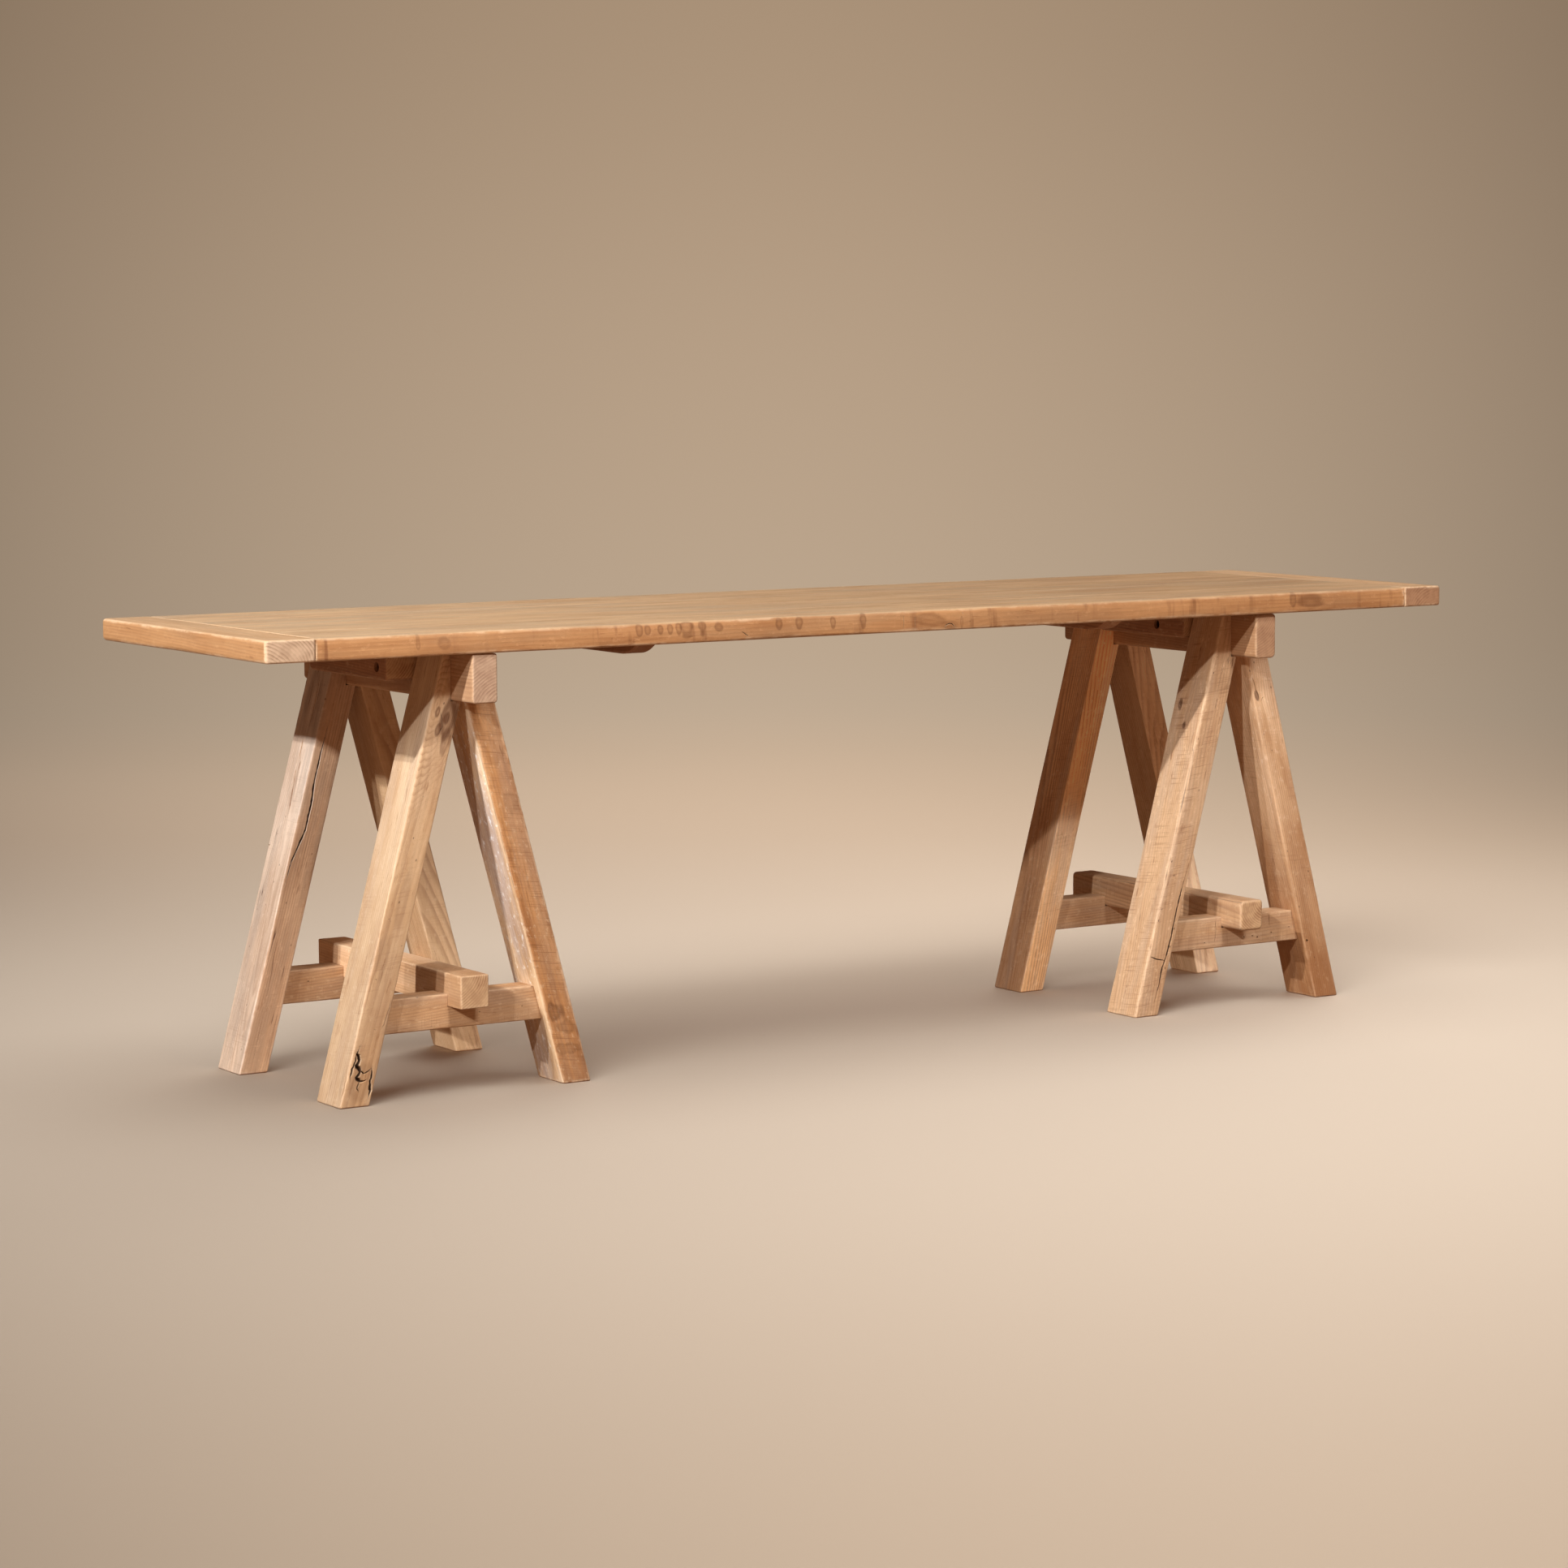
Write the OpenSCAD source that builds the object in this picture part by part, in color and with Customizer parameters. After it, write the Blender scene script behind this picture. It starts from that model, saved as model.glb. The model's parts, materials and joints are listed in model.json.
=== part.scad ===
// Trestle table: a loose plank top with breadboard ends, laid on two timber sawhorses.
// X runs along the table, Y from front to back and Z up. The origin is on the floor
// under the middle of the table top. Lengths are in millimetres.

/* [Table top] */
// Length of the table top, breadboard ends included
top_l = 2440; // [2300:10:2600]
// Width of the table top, front to back
top_w = 630; // [600:5:700]
// Thickness of the planks and breadboard ends
top_t = 38; // [34:1:45]
// Height of the upper face above the floor
table_h = 775; // [740:5:800]
// Width of each breadboard end
breadboard_w = 89; // [70:1:120]
// Radius of the rounded outer corners
corner_r = 8; // [3:1:20]

/* [Joints in the top] */
// Length of the tongue on each plank end
tongue_l = 30; // [20:1:45]
// Thickness of the tongue
tongue_t = 12; // [8:1:16]
// Distance that tongue and groove stop short of the front and back edges
tongue_stop = 25; // [15:1:60]
// Width of the loose spline between two planks
spline_w = 20; // [12:1:30]
// Thickness of the spline
spline_t = 8; // [5:1:12]
// Diameter of the pegs that lock the tongues
peg_d = 9; // [6:1:12]

/* [Battens] */
// Middle of each cross batten along the table
batten_x = [-483, 501]; // [-600:1:600]
// Length of a batten, front to back
batten_l = 505; // [480:5:590]
// Width of a batten
batten_w = 40; // [30:1:60]
// Depth of a batten below the planks
batten_t = 22; // [16:1:30]
// Run of the curve that sweeps each batten end up to the planks
batten_run = 53; // [35:1:60]

/* [Cleats] */
// Thickness of the cleats: left outer, left inner, right inner, right outer
cleat_t = [70, 38, 38, 38]; // [30:1:75]
// Depth of a cleat below the planks
cleat_h = 52; // [48:1:60]
// Clear gap between a cleat and the beam or leg beside it
cleat_gap = 1; // [0.5:0.5:3]
// Radius of the cleat's lower end corners
cleat_r = 12; // [4:1:18]

/* [Lock holes] */
// Diameter of the peg hole through cleats and beam
lock_d = 17; // [12:1:20]
// Depth of its axis below the planks
lock_drop = 31; // [26:1:34]
// Place of its axis from the middle of each sawhorse
lock_y = [-106, -48]; // [-112:1:-45]

/* [Sawhorses] */
// Middle of each sawhorse along the table
horse_x = [-824, 806]; // [-850:1:850]
// Middle of each sawhorse front to back
horse_y = [-3, -12]; // [-15:1:5]
// Spread of the feet along the table
horse_spread = [473, 483]; // [460:1:500]
// Depth over the legs, front to back
horse_depth = [463, 443]; // [440:1:480]

/* [Beams] */
// Length of each beam
beam_l = [612, 586]; // [560:1:620]
// Width of a beam
beam_w = 47; // [42:1:54]
// Depth of a beam
beam_h = 82; // [76:1:90]
// Radius of the beam's long edges
beam_r = 6; // [2:1:9]

/* [Legs] */
// Width of a leg across the slope, measured level
leg_w = 54.5; // [50:0.5:60]
// Depth of a leg, front to back
leg_d = 87; // [80:1:95]
// Sideways lean of a leg for each unit of height
leg_lean = 0.272; // [0.25:0.002:0.28]
// Gap between the leg tops and the planks
leg_top_gap = 0.5; // [0.5:0.5:2]

/* [Rails and stretchers] */
// Height of the rails' lower face above the floor
rail_z = 111; // [100:1:140]
// Height of a rail
rail_h = 58; // [50:1:65]
// Thickness of a rail
rail_t = 51; // [40:1:56]
// Depth of the notch that holds the stretcher
notch_h = 21; // [14:1:26]
// Tenon on each rail end: length, thickness and height
rail_tenon = [28, 18, 38]; // [14:1:44]
// Length of a stretcher
stretcher_l = 520; // [490:5:540]
// Width and height of a stretcher
stretcher_size = [53, 56]; // [45:1:60]
// Radius of the stretcher's long edges
stretcher_r = 4; // [2:1:7]

/* [Fasteners] */
// Shank and head diameter of the screws
screw_d = [5, 10]; // [4:0.5:12]
// Shank and head diameter of the nails
nail_d = [4, 6]; // [3:0.5:8]
// Height of a head
head_h = 3; // [2:0.5:4]
// Depth at which the rail nails' heads are set below the legs' faces
rail_nail_set = 3; // [0:0.5:4]
// Depth of a screw in the timber that it holds
bite = 24; // [18:1:26]

/* [Hidden] */
$fn = 48;

// Names for the two sawhorses and the two directions along an axis
LEFT = 0;
RIGHT = 1;
MINUS = -1;
PLUS = 1;
SIGNS = [MINUS, PLUS];

// Overrun that keeps a cutter's end clear of the face it cuts
past = 1;

under_z = table_h - top_t;
plank_count = 4;
plank_w = top_w / plank_count;
plank_l = top_l - 2 * breadboard_w;
tongue_y = top_w / 2 - tongue_stop;
tongue_z = table_h - (top_t + tongue_t) / 2;
tongue_slack = 1;
spline_stop = 40;
spline_slack = 0.2;
peg_past = 4;
peg_top = tongue_z + tongue_t + peg_past;

batten_screw_y = [-205, -75, 75, 205];
cleat_screw_y = [-72, 72];
cleat_side = [MINUS, PLUS, MINUS, PLUS];
cleat_horse = [LEFT, LEFT, RIGHT, RIGHT];
cleat_end_gap = 4;

beam_z = under_z - beam_h;
leg_top = under_z - leg_top_gap;
leg_nail_z = [beam_z + 21, beam_z + 61];
leg_nail_dy = [-22, 22];
nail_inset = 2;
nail_bite = 18;
rail_nail_past = 10;
rail_mid_z = rail_z + rail_h / 2;
stretcher_z = rail_z + rail_h - notch_h;
recess = 5;

honey = "#c79a68";
amber = "#b98250";
pale = "#cdb196";
brown = "#a87a4c";
peg_wood = "#8d6136";
steel = "#8a8782";
iron = "#4a4038";

// ---- Shapes that repeat ----

// Box given by its two opposite corners
module span(low, high) translate(low) cube(high - low);

// Rectangle with all four corners rounded, centred
module round_rect(size, r) {
    square([size.x - 2 * r, size.y], center = true);
    square([size.x, size.y - 2 * r], center = true);
    for (sx = SIGNS, sy = SIGNS)
        translate([sx * (size.x / 2 - r), sy * (size.y / 2 - r)]) circle(r);
}

// Timber along Y with rounded long edges: middle, section and length
module bar_y(middle, size, r, len)
    translate(middle) rotate([90, 0, 0])
        linear_extrude(len, center = true) round_rect(size, r);

// Outline in X and Z pushed along Y between two places
module push_y(y0, y1)
    translate([0, y1, 0]) rotate([90, 0, 0]) linear_extrude(y1 - y0) children();

// Outline in Y and Z pushed along X between two places
module push_x(x0, x1)
    translate([x0, 0, 0]) rotate([90, 0, 90]) linear_extrude(x1 - x0) children();

// Fastener from its head, which is at the origin, to its tip; d holds shank and head
module fastener(d, len) {
    cylinder(d = d[1], h = head_h);
    translate([0, 0, head_h]) cylinder(d = d[0], h = len - head_h);
}

// The hole for such a fastener, with a recess that sinks its head
module fastener_hole(d, len, sink = recess) {
    translate([0, 0, -sink]) cylinder(d = d[1], h = sink + head_h);
    cylinder(d = d[0], h = len);
}

// Turns that point a fastener along an axis
INTO_PLUS_X = [0, 90, 0];
INTO_MINUS_X = [0, -90, 0];
INTO_PLUS_Y = [-90, 0, 0];
INTO_MINUS_Y = [90, 0, 0];

// ---- Places of the fasteners ----

module at_batten_screws(b)
    for (y = batten_screw_y)
        translate([batten_x[b], y, under_z - batten_t + recess]) children();

batten_screw_l = batten_t - recess + bite;

module at_cleat_screws(c)
    for (dy = cleat_screw_y)
        translate([cleat_mid(c), horse_y[cleat_horse[c]] + dy, under_z - cleat_h + recess])
            children();

cleat_screw_l = cleat_h - recess + bite;

module at_pegs(sx)
    for (i = [0 : plank_count - 1])
        translate([sx * (plank_l + tongue_l) / 2, plank_mid(i), under_z]) children();

peg_l = peg_top - under_z;

// The nails that hold one leg to the beam point from its outer face towards the beam
module leg_nails_of(h, sx, sy, hole = false)
    for (i = [0, 1]) {
        x = horse_x[h] + sx * (leg_outer(h, leg_nail_z[i]) - nail_inset - recess);
        y = leg_mid_y(h, sy) + sy * leg_nail_dy[i];
        len = leg_outer(h, leg_nail_z[i]) - nail_inset - recess - beam_w / 2 + nail_bite;
        turn = sx < 0 ? INTO_PLUS_X : INTO_MINUS_X;
        translate([x, y, leg_nail_z[i]]) rotate(turn)
            if (hole) fastener_hole(nail_d, len, 3 * recess); else fastener(nail_d, len);
    }

// The nail through one leg and the rail's tenon, driven from the leg's outer side
module rail_nail_of(h, sx, sy, hole = false) {
    x = horse_x[h] + sx * (leg_inner(h, rail_mid_z) + rail_tenon.x / 2);
    y = horse_y[h] + sy * (horse_depth[h] / 2 - rail_nail_set);
    len = (leg_d + rail_tenon.y) / 2 - rail_nail_set + rail_nail_past;
    turn = sy < 0 ? INTO_PLUS_Y : INTO_MINUS_Y;
    translate([x, y, rail_mid_z]) rotate(turn)
        if (hole) fastener_hole(nail_d, len); else fastener(nail_d, len);
}

module at_stretcher_screws(h)
    for (sy = SIGNS)
        translate([horse_x[h], leg_mid_y(h, sy), rail_z + recess]) children();

stretcher_screw_l = rail_h - notch_h - recess + bite;

// ---- Places of the timbers ----

function plank_mid(i) = (i - (plank_count - 1) / 2) * plank_w;

// Middle of a cleat along the table
function cleat_mid(c) =
    horse_x[cleat_horse[c]] + cleat_side[c] * (beam_w / 2 + cleat_gap + cleat_t[c] / 2);

// Distance of a leg's outer and inner face from its sawhorse's middle, at height z
function leg_outer(h, z) = horse_spread[h] / 2 - leg_lean * z;
function leg_inner(h, z) = leg_outer(h, z) - leg_w;

function leg_mid_y(h, sy) = horse_y[h] + sy * (horse_depth[h] - leg_d) / 2;

// ---- Table top ----

// One plank of the top, with a tongue on each end and grooves for the splines
module plank(i) {
    y0 = plank_mid(i) - plank_w / 2;
    y1 = plank_mid(i) + plank_w / 2;
    difference() {
        union() {
            span([-plank_l / 2, y0, under_z], [plank_l / 2, y1, table_h]);
            span([-plank_l / 2 - tongue_l, max(y0, -tongue_y), tongue_z],
                 [plank_l / 2 + tongue_l, min(y1, tongue_y), tongue_z + tongue_t]);
        }
        for (j = [1 : plank_count - 1]) spline(j, spline_slack);
        for (sx = SIGNS) at_pegs(sx) cylinder(d = peg_d, h = peg_l);
        for (b = [0, 1]) at_batten_screws(b) fastener_hole(screw_d, batten_screw_l);
        for (c = [0 : 3]) at_cleat_screws(c) fastener_hole(screw_d, cleat_screw_l);
    }
}

// Loose spline in the joint before plank j, or its groove when slack is given
module spline(j, slack = 0) {
    y = plank_mid(j) - plank_w / 2;
    z = table_h - top_t / 2;
    span([-plank_l / 2 + spline_stop, y - spline_w / 2 - slack, z - spline_t / 2],
         [plank_l / 2 - spline_stop, y + spline_w / 2 + slack, z + spline_t / 2]);
}

// Breadboard end: a cross board grooved for the tongues, its outer corners rounded
module breadboard(sx)
    difference() {
        mirror([sx < 0 ? 1 : 0, 0, 0]) difference() {
            translate([plank_l / 2, 0, under_z]) linear_extrude(top_t) {
                translate([0, -top_w / 2]) square([breadboard_w - corner_r, top_w]);
                translate([breadboard_w / 2, 0]) round_rect([breadboard_w, top_w], corner_r);
            }
            span([plank_l / 2 - past, -tongue_y, tongue_z],
                 [plank_l / 2 + tongue_l + tongue_slack, tongue_y, tongue_z + tongue_t]);
        }
        at_pegs(sx) translate([0, 0, -past]) cylinder(d = peg_d, h = peg_l + past);
    }

// Cross batten: flat above, its ends swept up to the planks by an arc
module batten(b) {
    arc_r = (pow(batten_run, 2) + pow(batten_t, 2)) / (2 * batten_t);
    flat = batten_l / 2 - batten_run;
    difference() {
        push_x(batten_x[b] - batten_w / 2, batten_x[b] + batten_w / 2)
            intersection() {
                translate([-batten_l / 2, under_z - batten_t]) square([batten_l, batten_t]);
                union() {
                    translate([-flat, under_z - batten_t]) square([2 * flat, batten_t]);
                    for (s = SIGNS)
                        translate([s * flat, under_z - batten_t + arc_r]) circle(arc_r, $fn = 96);
                }
            }
        at_batten_screws(b) fastener_hole(screw_d, batten_screw_l, recess + past);
    }
}

// Cleat beside a beam: it keeps the loose top from sliding off its sawhorse
module cleat(c) {
    h = cleat_horse[c];
    len = horse_depth[h] - 2 * (leg_d + cleat_end_gap);
    difference() {
        push_x(cleat_mid(c) - cleat_t[c] / 2, cleat_mid(c) + cleat_t[c] / 2)
            translate([horse_y[h], under_z - cleat_h / 2]) {
                translate([-len / 2, 0]) square([len, cleat_h / 2]);
                round_rect([len, cleat_h], cleat_r);
            }
        lock_hole(h);
        at_cleat_screws(c) fastener_hole(screw_d, cleat_screw_l, recess + past);
    }
}

// Cutter for the peg hole that runs through both cleats and the beam
module lock_hole(h) {
    reach = beam_w / 2 + max(cleat_t) + 2 * cleat_gap + past;
    translate([horse_x[h], horse_y[h] + lock_y[h], under_z - lock_drop])
        rotate([0, 90, 0]) cylinder(d = lock_d, h = 2 * reach, center = true);
}

// ---- Sawhorses ----

// Beam along Y that carries the top
module beam(h)
    difference() {
        bar_y([horse_x[h], horse_y[h], beam_z + beam_h / 2], [beam_w, beam_h], beam_r, beam_l[h]);
        lock_hole(h);
        for (sx = SIGNS, sy = SIGNS) leg_nails_of(h, sx, sy, hole = true);
    }

// Leaning leg, notched over the beam's lower corner and mortised for the rail
module leg(h, sx, sy)
    difference() {
        translate([horse_x[h], 0, 0]) mirror([sx < 0 ? 1 : 0, 0, 0])
            push_y(leg_mid_y(h, sy) - leg_d / 2, leg_mid_y(h, sy) + leg_d / 2)
                polygon([
                    [leg_outer(h, 0), 0],
                    [leg_outer(h, leg_top), leg_top],
                    [beam_w / 2, leg_top],
                    [beam_w / 2, beam_z],
                    [leg_inner(h, beam_z), beam_z],
                    [leg_inner(h, 0), 0]
                ]);
        rail_outline(h, sy, rail_tenon.y, rail_mid_z - rail_tenon.z / 2, rail_tenon.z, rail_tenon.x);
        leg_nails_of(h, sx, sy, hole = true);
        rail_nail_of(h, sx, sy, hole = true);
    }

// Bar between the legs whose ends follow their lean, reaching past their inner faces
module rail_outline(h, sy, thick, z0, high, reach)
    translate([horse_x[h], 0, 0])
        push_y(leg_mid_y(h, sy) - thick / 2, leg_mid_y(h, sy) + thick / 2)
            polygon([
                [-leg_inner(h, z0) - reach, z0],
                [leg_inner(h, z0) + reach, z0],
                [leg_inner(h, z0 + high) + reach, z0 + high],
                [-leg_inner(h, z0 + high) - reach, z0 + high]
            ]);

// Rail with a tenon on each end and a notch on top for the stretcher
module rail(h, sy)
    difference() {
        union() {
            rail_outline(h, sy, rail_t, rail_z, rail_h, 0);
            rail_outline(h, sy, rail_tenon.y, rail_mid_z - rail_tenon.z / 2, rail_tenon.z,
                         rail_tenon.x);
        }
        translate([horse_x[h] - stretcher_size.x / 2, leg_mid_y(h, sy) - rail_t, stretcher_z])
            cube([stretcher_size.x, 2 * rail_t, notch_h + past]);
        for (sx = SIGNS) rail_nail_of(h, sx, sy, hole = true);
        at_stretcher_screws(h) fastener_hole(screw_d, stretcher_screw_l, recess + past);
    }

// Stretcher along Y, let into the notches of both rails
module stretcher(h)
    difference() {
        bar_y([horse_x[h], horse_y[h], stretcher_z + stretcher_size.y / 2],
              stretcher_size, stretcher_r, stretcher_l);
        at_stretcher_screws(h) fastener_hole(screw_d, stretcher_screw_l);
    }

// ---- Nodes ----

module plank_front() color(honey) plank(0);
module plank_mid_front() color(amber) plank(1);
module plank_mid_back() color(honey) plank(2);
module plank_back() color(amber) plank(3);
module breadboard_left() color(pale) breadboard(MINUS);
module breadboard_right() color(brown) breadboard(PLUS);
module plank_splines() color(peg_wood) for (j = [1 : plank_count - 1]) spline(j);
module breadboard_pegs() color(peg_wood)
    for (sx = SIGNS) at_pegs(sx) cylinder(d = peg_d, h = peg_l);
module batten_left() color(amber) batten(0);
module batten_right() color(amber) batten(1);
module batten_screws() color(steel)
    for (b = [0, 1]) at_batten_screws(b) fastener(screw_d, batten_screw_l);
module cleat_left_outer() color(brown) cleat(0);
module cleat_left_inner() color(brown) cleat(1);
module cleat_right_inner() color(brown) cleat(2);
module cleat_right_outer() color(brown) cleat(3);
module cleat_screws() color(steel)
    for (c = [0 : 3]) at_cleat_screws(c) fastener(screw_d, cleat_screw_l);

module left_beam() color(pale) beam(LEFT);
module left_leg_front_left() color(honey) leg(LEFT, MINUS, MINUS);
module left_leg_front_right() color(brown) leg(LEFT, PLUS, MINUS);
module left_leg_back_left() color(pale) leg(LEFT, MINUS, PLUS);
module left_leg_back_right() color(honey) leg(LEFT, PLUS, PLUS);
module left_rail_front() color(honey) rail(LEFT, MINUS);
module left_rail_back() color(amber) rail(LEFT, PLUS);
module left_stretcher() color(amber) stretcher(LEFT);
module left_leg_nails() color(iron)
    for (sx = SIGNS, sy = SIGNS) leg_nails_of(LEFT, sx, sy);
module left_rail_nails() color(iron)
    for (sx = SIGNS, sy = SIGNS) rail_nail_of(LEFT, sx, sy);
module left_stretcher_screws() color(steel)
    at_stretcher_screws(LEFT) fastener(screw_d, stretcher_screw_l);

module right_beam() color(honey) beam(RIGHT);
module right_leg_front_left() color(honey) leg(RIGHT, MINUS, MINUS);
module right_leg_front_right() color(brown) leg(RIGHT, PLUS, MINUS);
module right_leg_back_left() color(amber) leg(RIGHT, MINUS, PLUS);
module right_leg_back_right() color(honey) leg(RIGHT, PLUS, PLUS);
module right_rail_front() color(honey) rail(RIGHT, MINUS);
module right_rail_back() color(amber) rail(RIGHT, PLUS);
module right_stretcher() color(amber) stretcher(RIGHT);
module right_leg_nails() color(iron)
    for (sx = SIGNS, sy = SIGNS) leg_nails_of(RIGHT, sx, sy);
module right_rail_nails() color(iron)
    for (sx = SIGNS, sy = SIGNS) rail_nail_of(RIGHT, sx, sy);
module right_stretcher_screws() color(steel)
    at_stretcher_screws(RIGHT) fastener(screw_d, stretcher_screw_l);

plank_front();
plank_mid_front();
plank_mid_back();
plank_back();
breadboard_left();
breadboard_right();
plank_splines();
breadboard_pegs();
batten_left();
batten_right();
batten_screws();
cleat_left_outer();
cleat_left_inner();
cleat_right_inner();
cleat_right_outer();
cleat_screws();
left_beam();
left_leg_front_left();
left_leg_front_right();
left_leg_back_left();
left_leg_back_right();
left_rail_front();
left_rail_back();
left_stretcher();
left_leg_nails();
left_rail_nails();
left_stretcher_screws();
right_beam();
right_leg_front_left();
right_leg_front_right();
right_leg_back_left();
right_leg_back_right();
right_rail_front();
right_rail_back();
right_stretcher();
right_leg_nails();
right_rail_nails();
right_stretcher_screws();
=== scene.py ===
"""Looks of the trestle table: worn timbers, wood materials, studio floor, light and camera."""
import json
import math
from itertools import product

import bmesh
import bpy
import numpy as np
from mathutils import Matrix, Vector

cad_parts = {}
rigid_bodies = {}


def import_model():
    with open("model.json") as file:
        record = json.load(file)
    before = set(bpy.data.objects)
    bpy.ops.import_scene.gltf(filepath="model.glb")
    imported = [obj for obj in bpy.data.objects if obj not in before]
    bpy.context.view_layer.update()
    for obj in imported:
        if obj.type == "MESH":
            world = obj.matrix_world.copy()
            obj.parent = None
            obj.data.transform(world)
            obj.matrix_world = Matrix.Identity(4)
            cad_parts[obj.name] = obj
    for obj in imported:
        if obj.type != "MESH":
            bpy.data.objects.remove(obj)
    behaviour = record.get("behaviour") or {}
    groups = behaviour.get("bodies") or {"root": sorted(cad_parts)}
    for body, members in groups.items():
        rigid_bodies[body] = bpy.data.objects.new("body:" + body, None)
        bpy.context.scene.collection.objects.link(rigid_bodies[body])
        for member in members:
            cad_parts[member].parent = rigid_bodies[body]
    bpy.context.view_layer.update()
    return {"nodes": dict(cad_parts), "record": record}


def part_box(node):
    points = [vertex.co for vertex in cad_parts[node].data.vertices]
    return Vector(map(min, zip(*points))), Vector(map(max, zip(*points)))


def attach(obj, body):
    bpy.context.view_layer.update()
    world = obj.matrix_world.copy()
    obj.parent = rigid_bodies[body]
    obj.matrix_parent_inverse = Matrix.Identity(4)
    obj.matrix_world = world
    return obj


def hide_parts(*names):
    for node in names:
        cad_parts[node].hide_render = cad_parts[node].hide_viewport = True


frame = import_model()
stage_group = bpy.data.collections.new("studio")
bpy.context.scene.collection.children.link(stage_group)

# As in the CAD, in metres: a leg's lean and level width, the run of the arc under a batten's end,
# a beam's width and the radius of a screw's recess. A rail reaches RAIL_REACH into the legs here.
LEAN = 0.272
LEG_WIDTH = 0.0545
BATTEN_RUN = 0.053
LEG_STRETCH = math.hypot(1.0, LEAN)
BEAM_WIDTH = 0.047
SCREW_RECESS = 0.0052
RAIL_REACH = 0.002


# ---- Noise for shapes ----

def hashed(ix, iy, iz, seed):
    """Repeatable value from -1 to 1 at each lattice point."""
    h = (ix * 374761393 + iy * 668265263 + iz * 2147483647 + seed * 974711) & 0xFFFFFFFF
    h = ((h ^ (h >> 13)) * 1274126177) & 0xFFFFFFFF
    return ((h ^ (h >> 16)) & 0xFFFF) / 32767.5 - 1.0


def noise(points, seed):
    """Smooth value noise at (n, 3) points."""
    points = np.asarray(points, float)
    cell = np.floor(points).astype(np.int64)
    f = points - cell
    f = f * f * (3 - 2 * f)
    total = np.zeros(len(points))
    for corner in product((0, 1), repeat=3):
        weight = np.prod([f[:, k] if c else 1 - f[:, k] for k, c in enumerate(corner)], axis=0)
        total += weight * hashed(*(cell[:, k] + c for k, c in enumerate(corner)), seed)
    return total


def along(values, seed):
    """Noise that depends on one number only."""
    values = np.asarray(values, float).ravel()
    return noise(np.stack([values, values * 0 + 0.37, values * 0 + 0.71], 1), seed)


def smooth(x, low, high):
    t = np.clip((np.asarray(x, float) - low) / (high - low), 0, 1)
    return t * t * (3 - 2 * t)


# ---- Timbers ----

def linked(name, data):
    """A new object in the scene."""
    obj = bpy.data.objects.new(name, data)
    bpy.context.scene.collection.objects.link(obj)
    return obj


CORNERS = ((-1, -1), (1, -1), (1, 1), (-1, 1))
ARC_STEPS = 2


def section(half_u, half_v, radii, counts):
    """Rounded rectangle for many stations at once: points, outward normals and arris weights."""
    points, normals, weights = [], [], []
    for side in range(4):
        a, b = side, (side + 1) % 4
        ends = []
        for corner, start in ((a, 225 + 90 * side), (b, 270 + 90 * side)):
            su, sv = CORNERS[corner]
            r = radii[:, corner]
            centre = np.stack([su * (half_u - r), sv * (half_v - r)], 1)
            for k in range(ARC_STEPS + 1):
                angle = math.radians(start + 45 * k / ARC_STEPS)
                n = np.array([math.cos(angle), math.sin(angle)])
                ends.append((centre + r[:, None] * n, n))
        first, last = ends[:ARC_STEPS + 1], ends[ARC_STEPS + 1:]
        n_face = first[-1][1]
        for k, (p, n) in enumerate(first):
            points.append(p)
            normals.append(n)
            weights.append(1 - k / ARC_STEPS)
        for k in range(1, counts[side % 2]):
            t = k / counts[side % 2]
            points.append(first[-1][0] * (1 - t) + last[0][0] * t)
            normals.append(n_face)
            weights.append(0)
        for k, (p, n) in enumerate(last[:-1]):
            points.append(p)
            normals.append(n)
            weights.append(k / ARC_STEPS)
    count = len(points)
    return (np.stack(points, 1), np.array(normals).reshape(1, count, 2), np.array(weights))


def cap_grid(ring, cols, rows):
    """Fills a closed ring of points with a grid: (cols + 1, rows + 1) points."""
    i, j = np.arange(cols + 1), np.arange(rows + 1)
    bottom, right = ring[i], ring[cols + j]
    top, left = ring[2 * cols + rows - i], ring[(2 * cols + 2 * rows - j) % len(ring)]
    x, y = (i / cols)[:, None, None], (j / rows)[None, :, None]
    grid = (1 - y) * bottom[:, None] + y * top[:, None] + (1 - x) * left[None] + x * right[None]
    grid -= (1 - x) * (1 - y) * bottom[0] + x * (1 - y) * bottom[-1]
    grid -= (1 - x) * y * top[0] + x * y * top[-1]
    return grid


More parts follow.
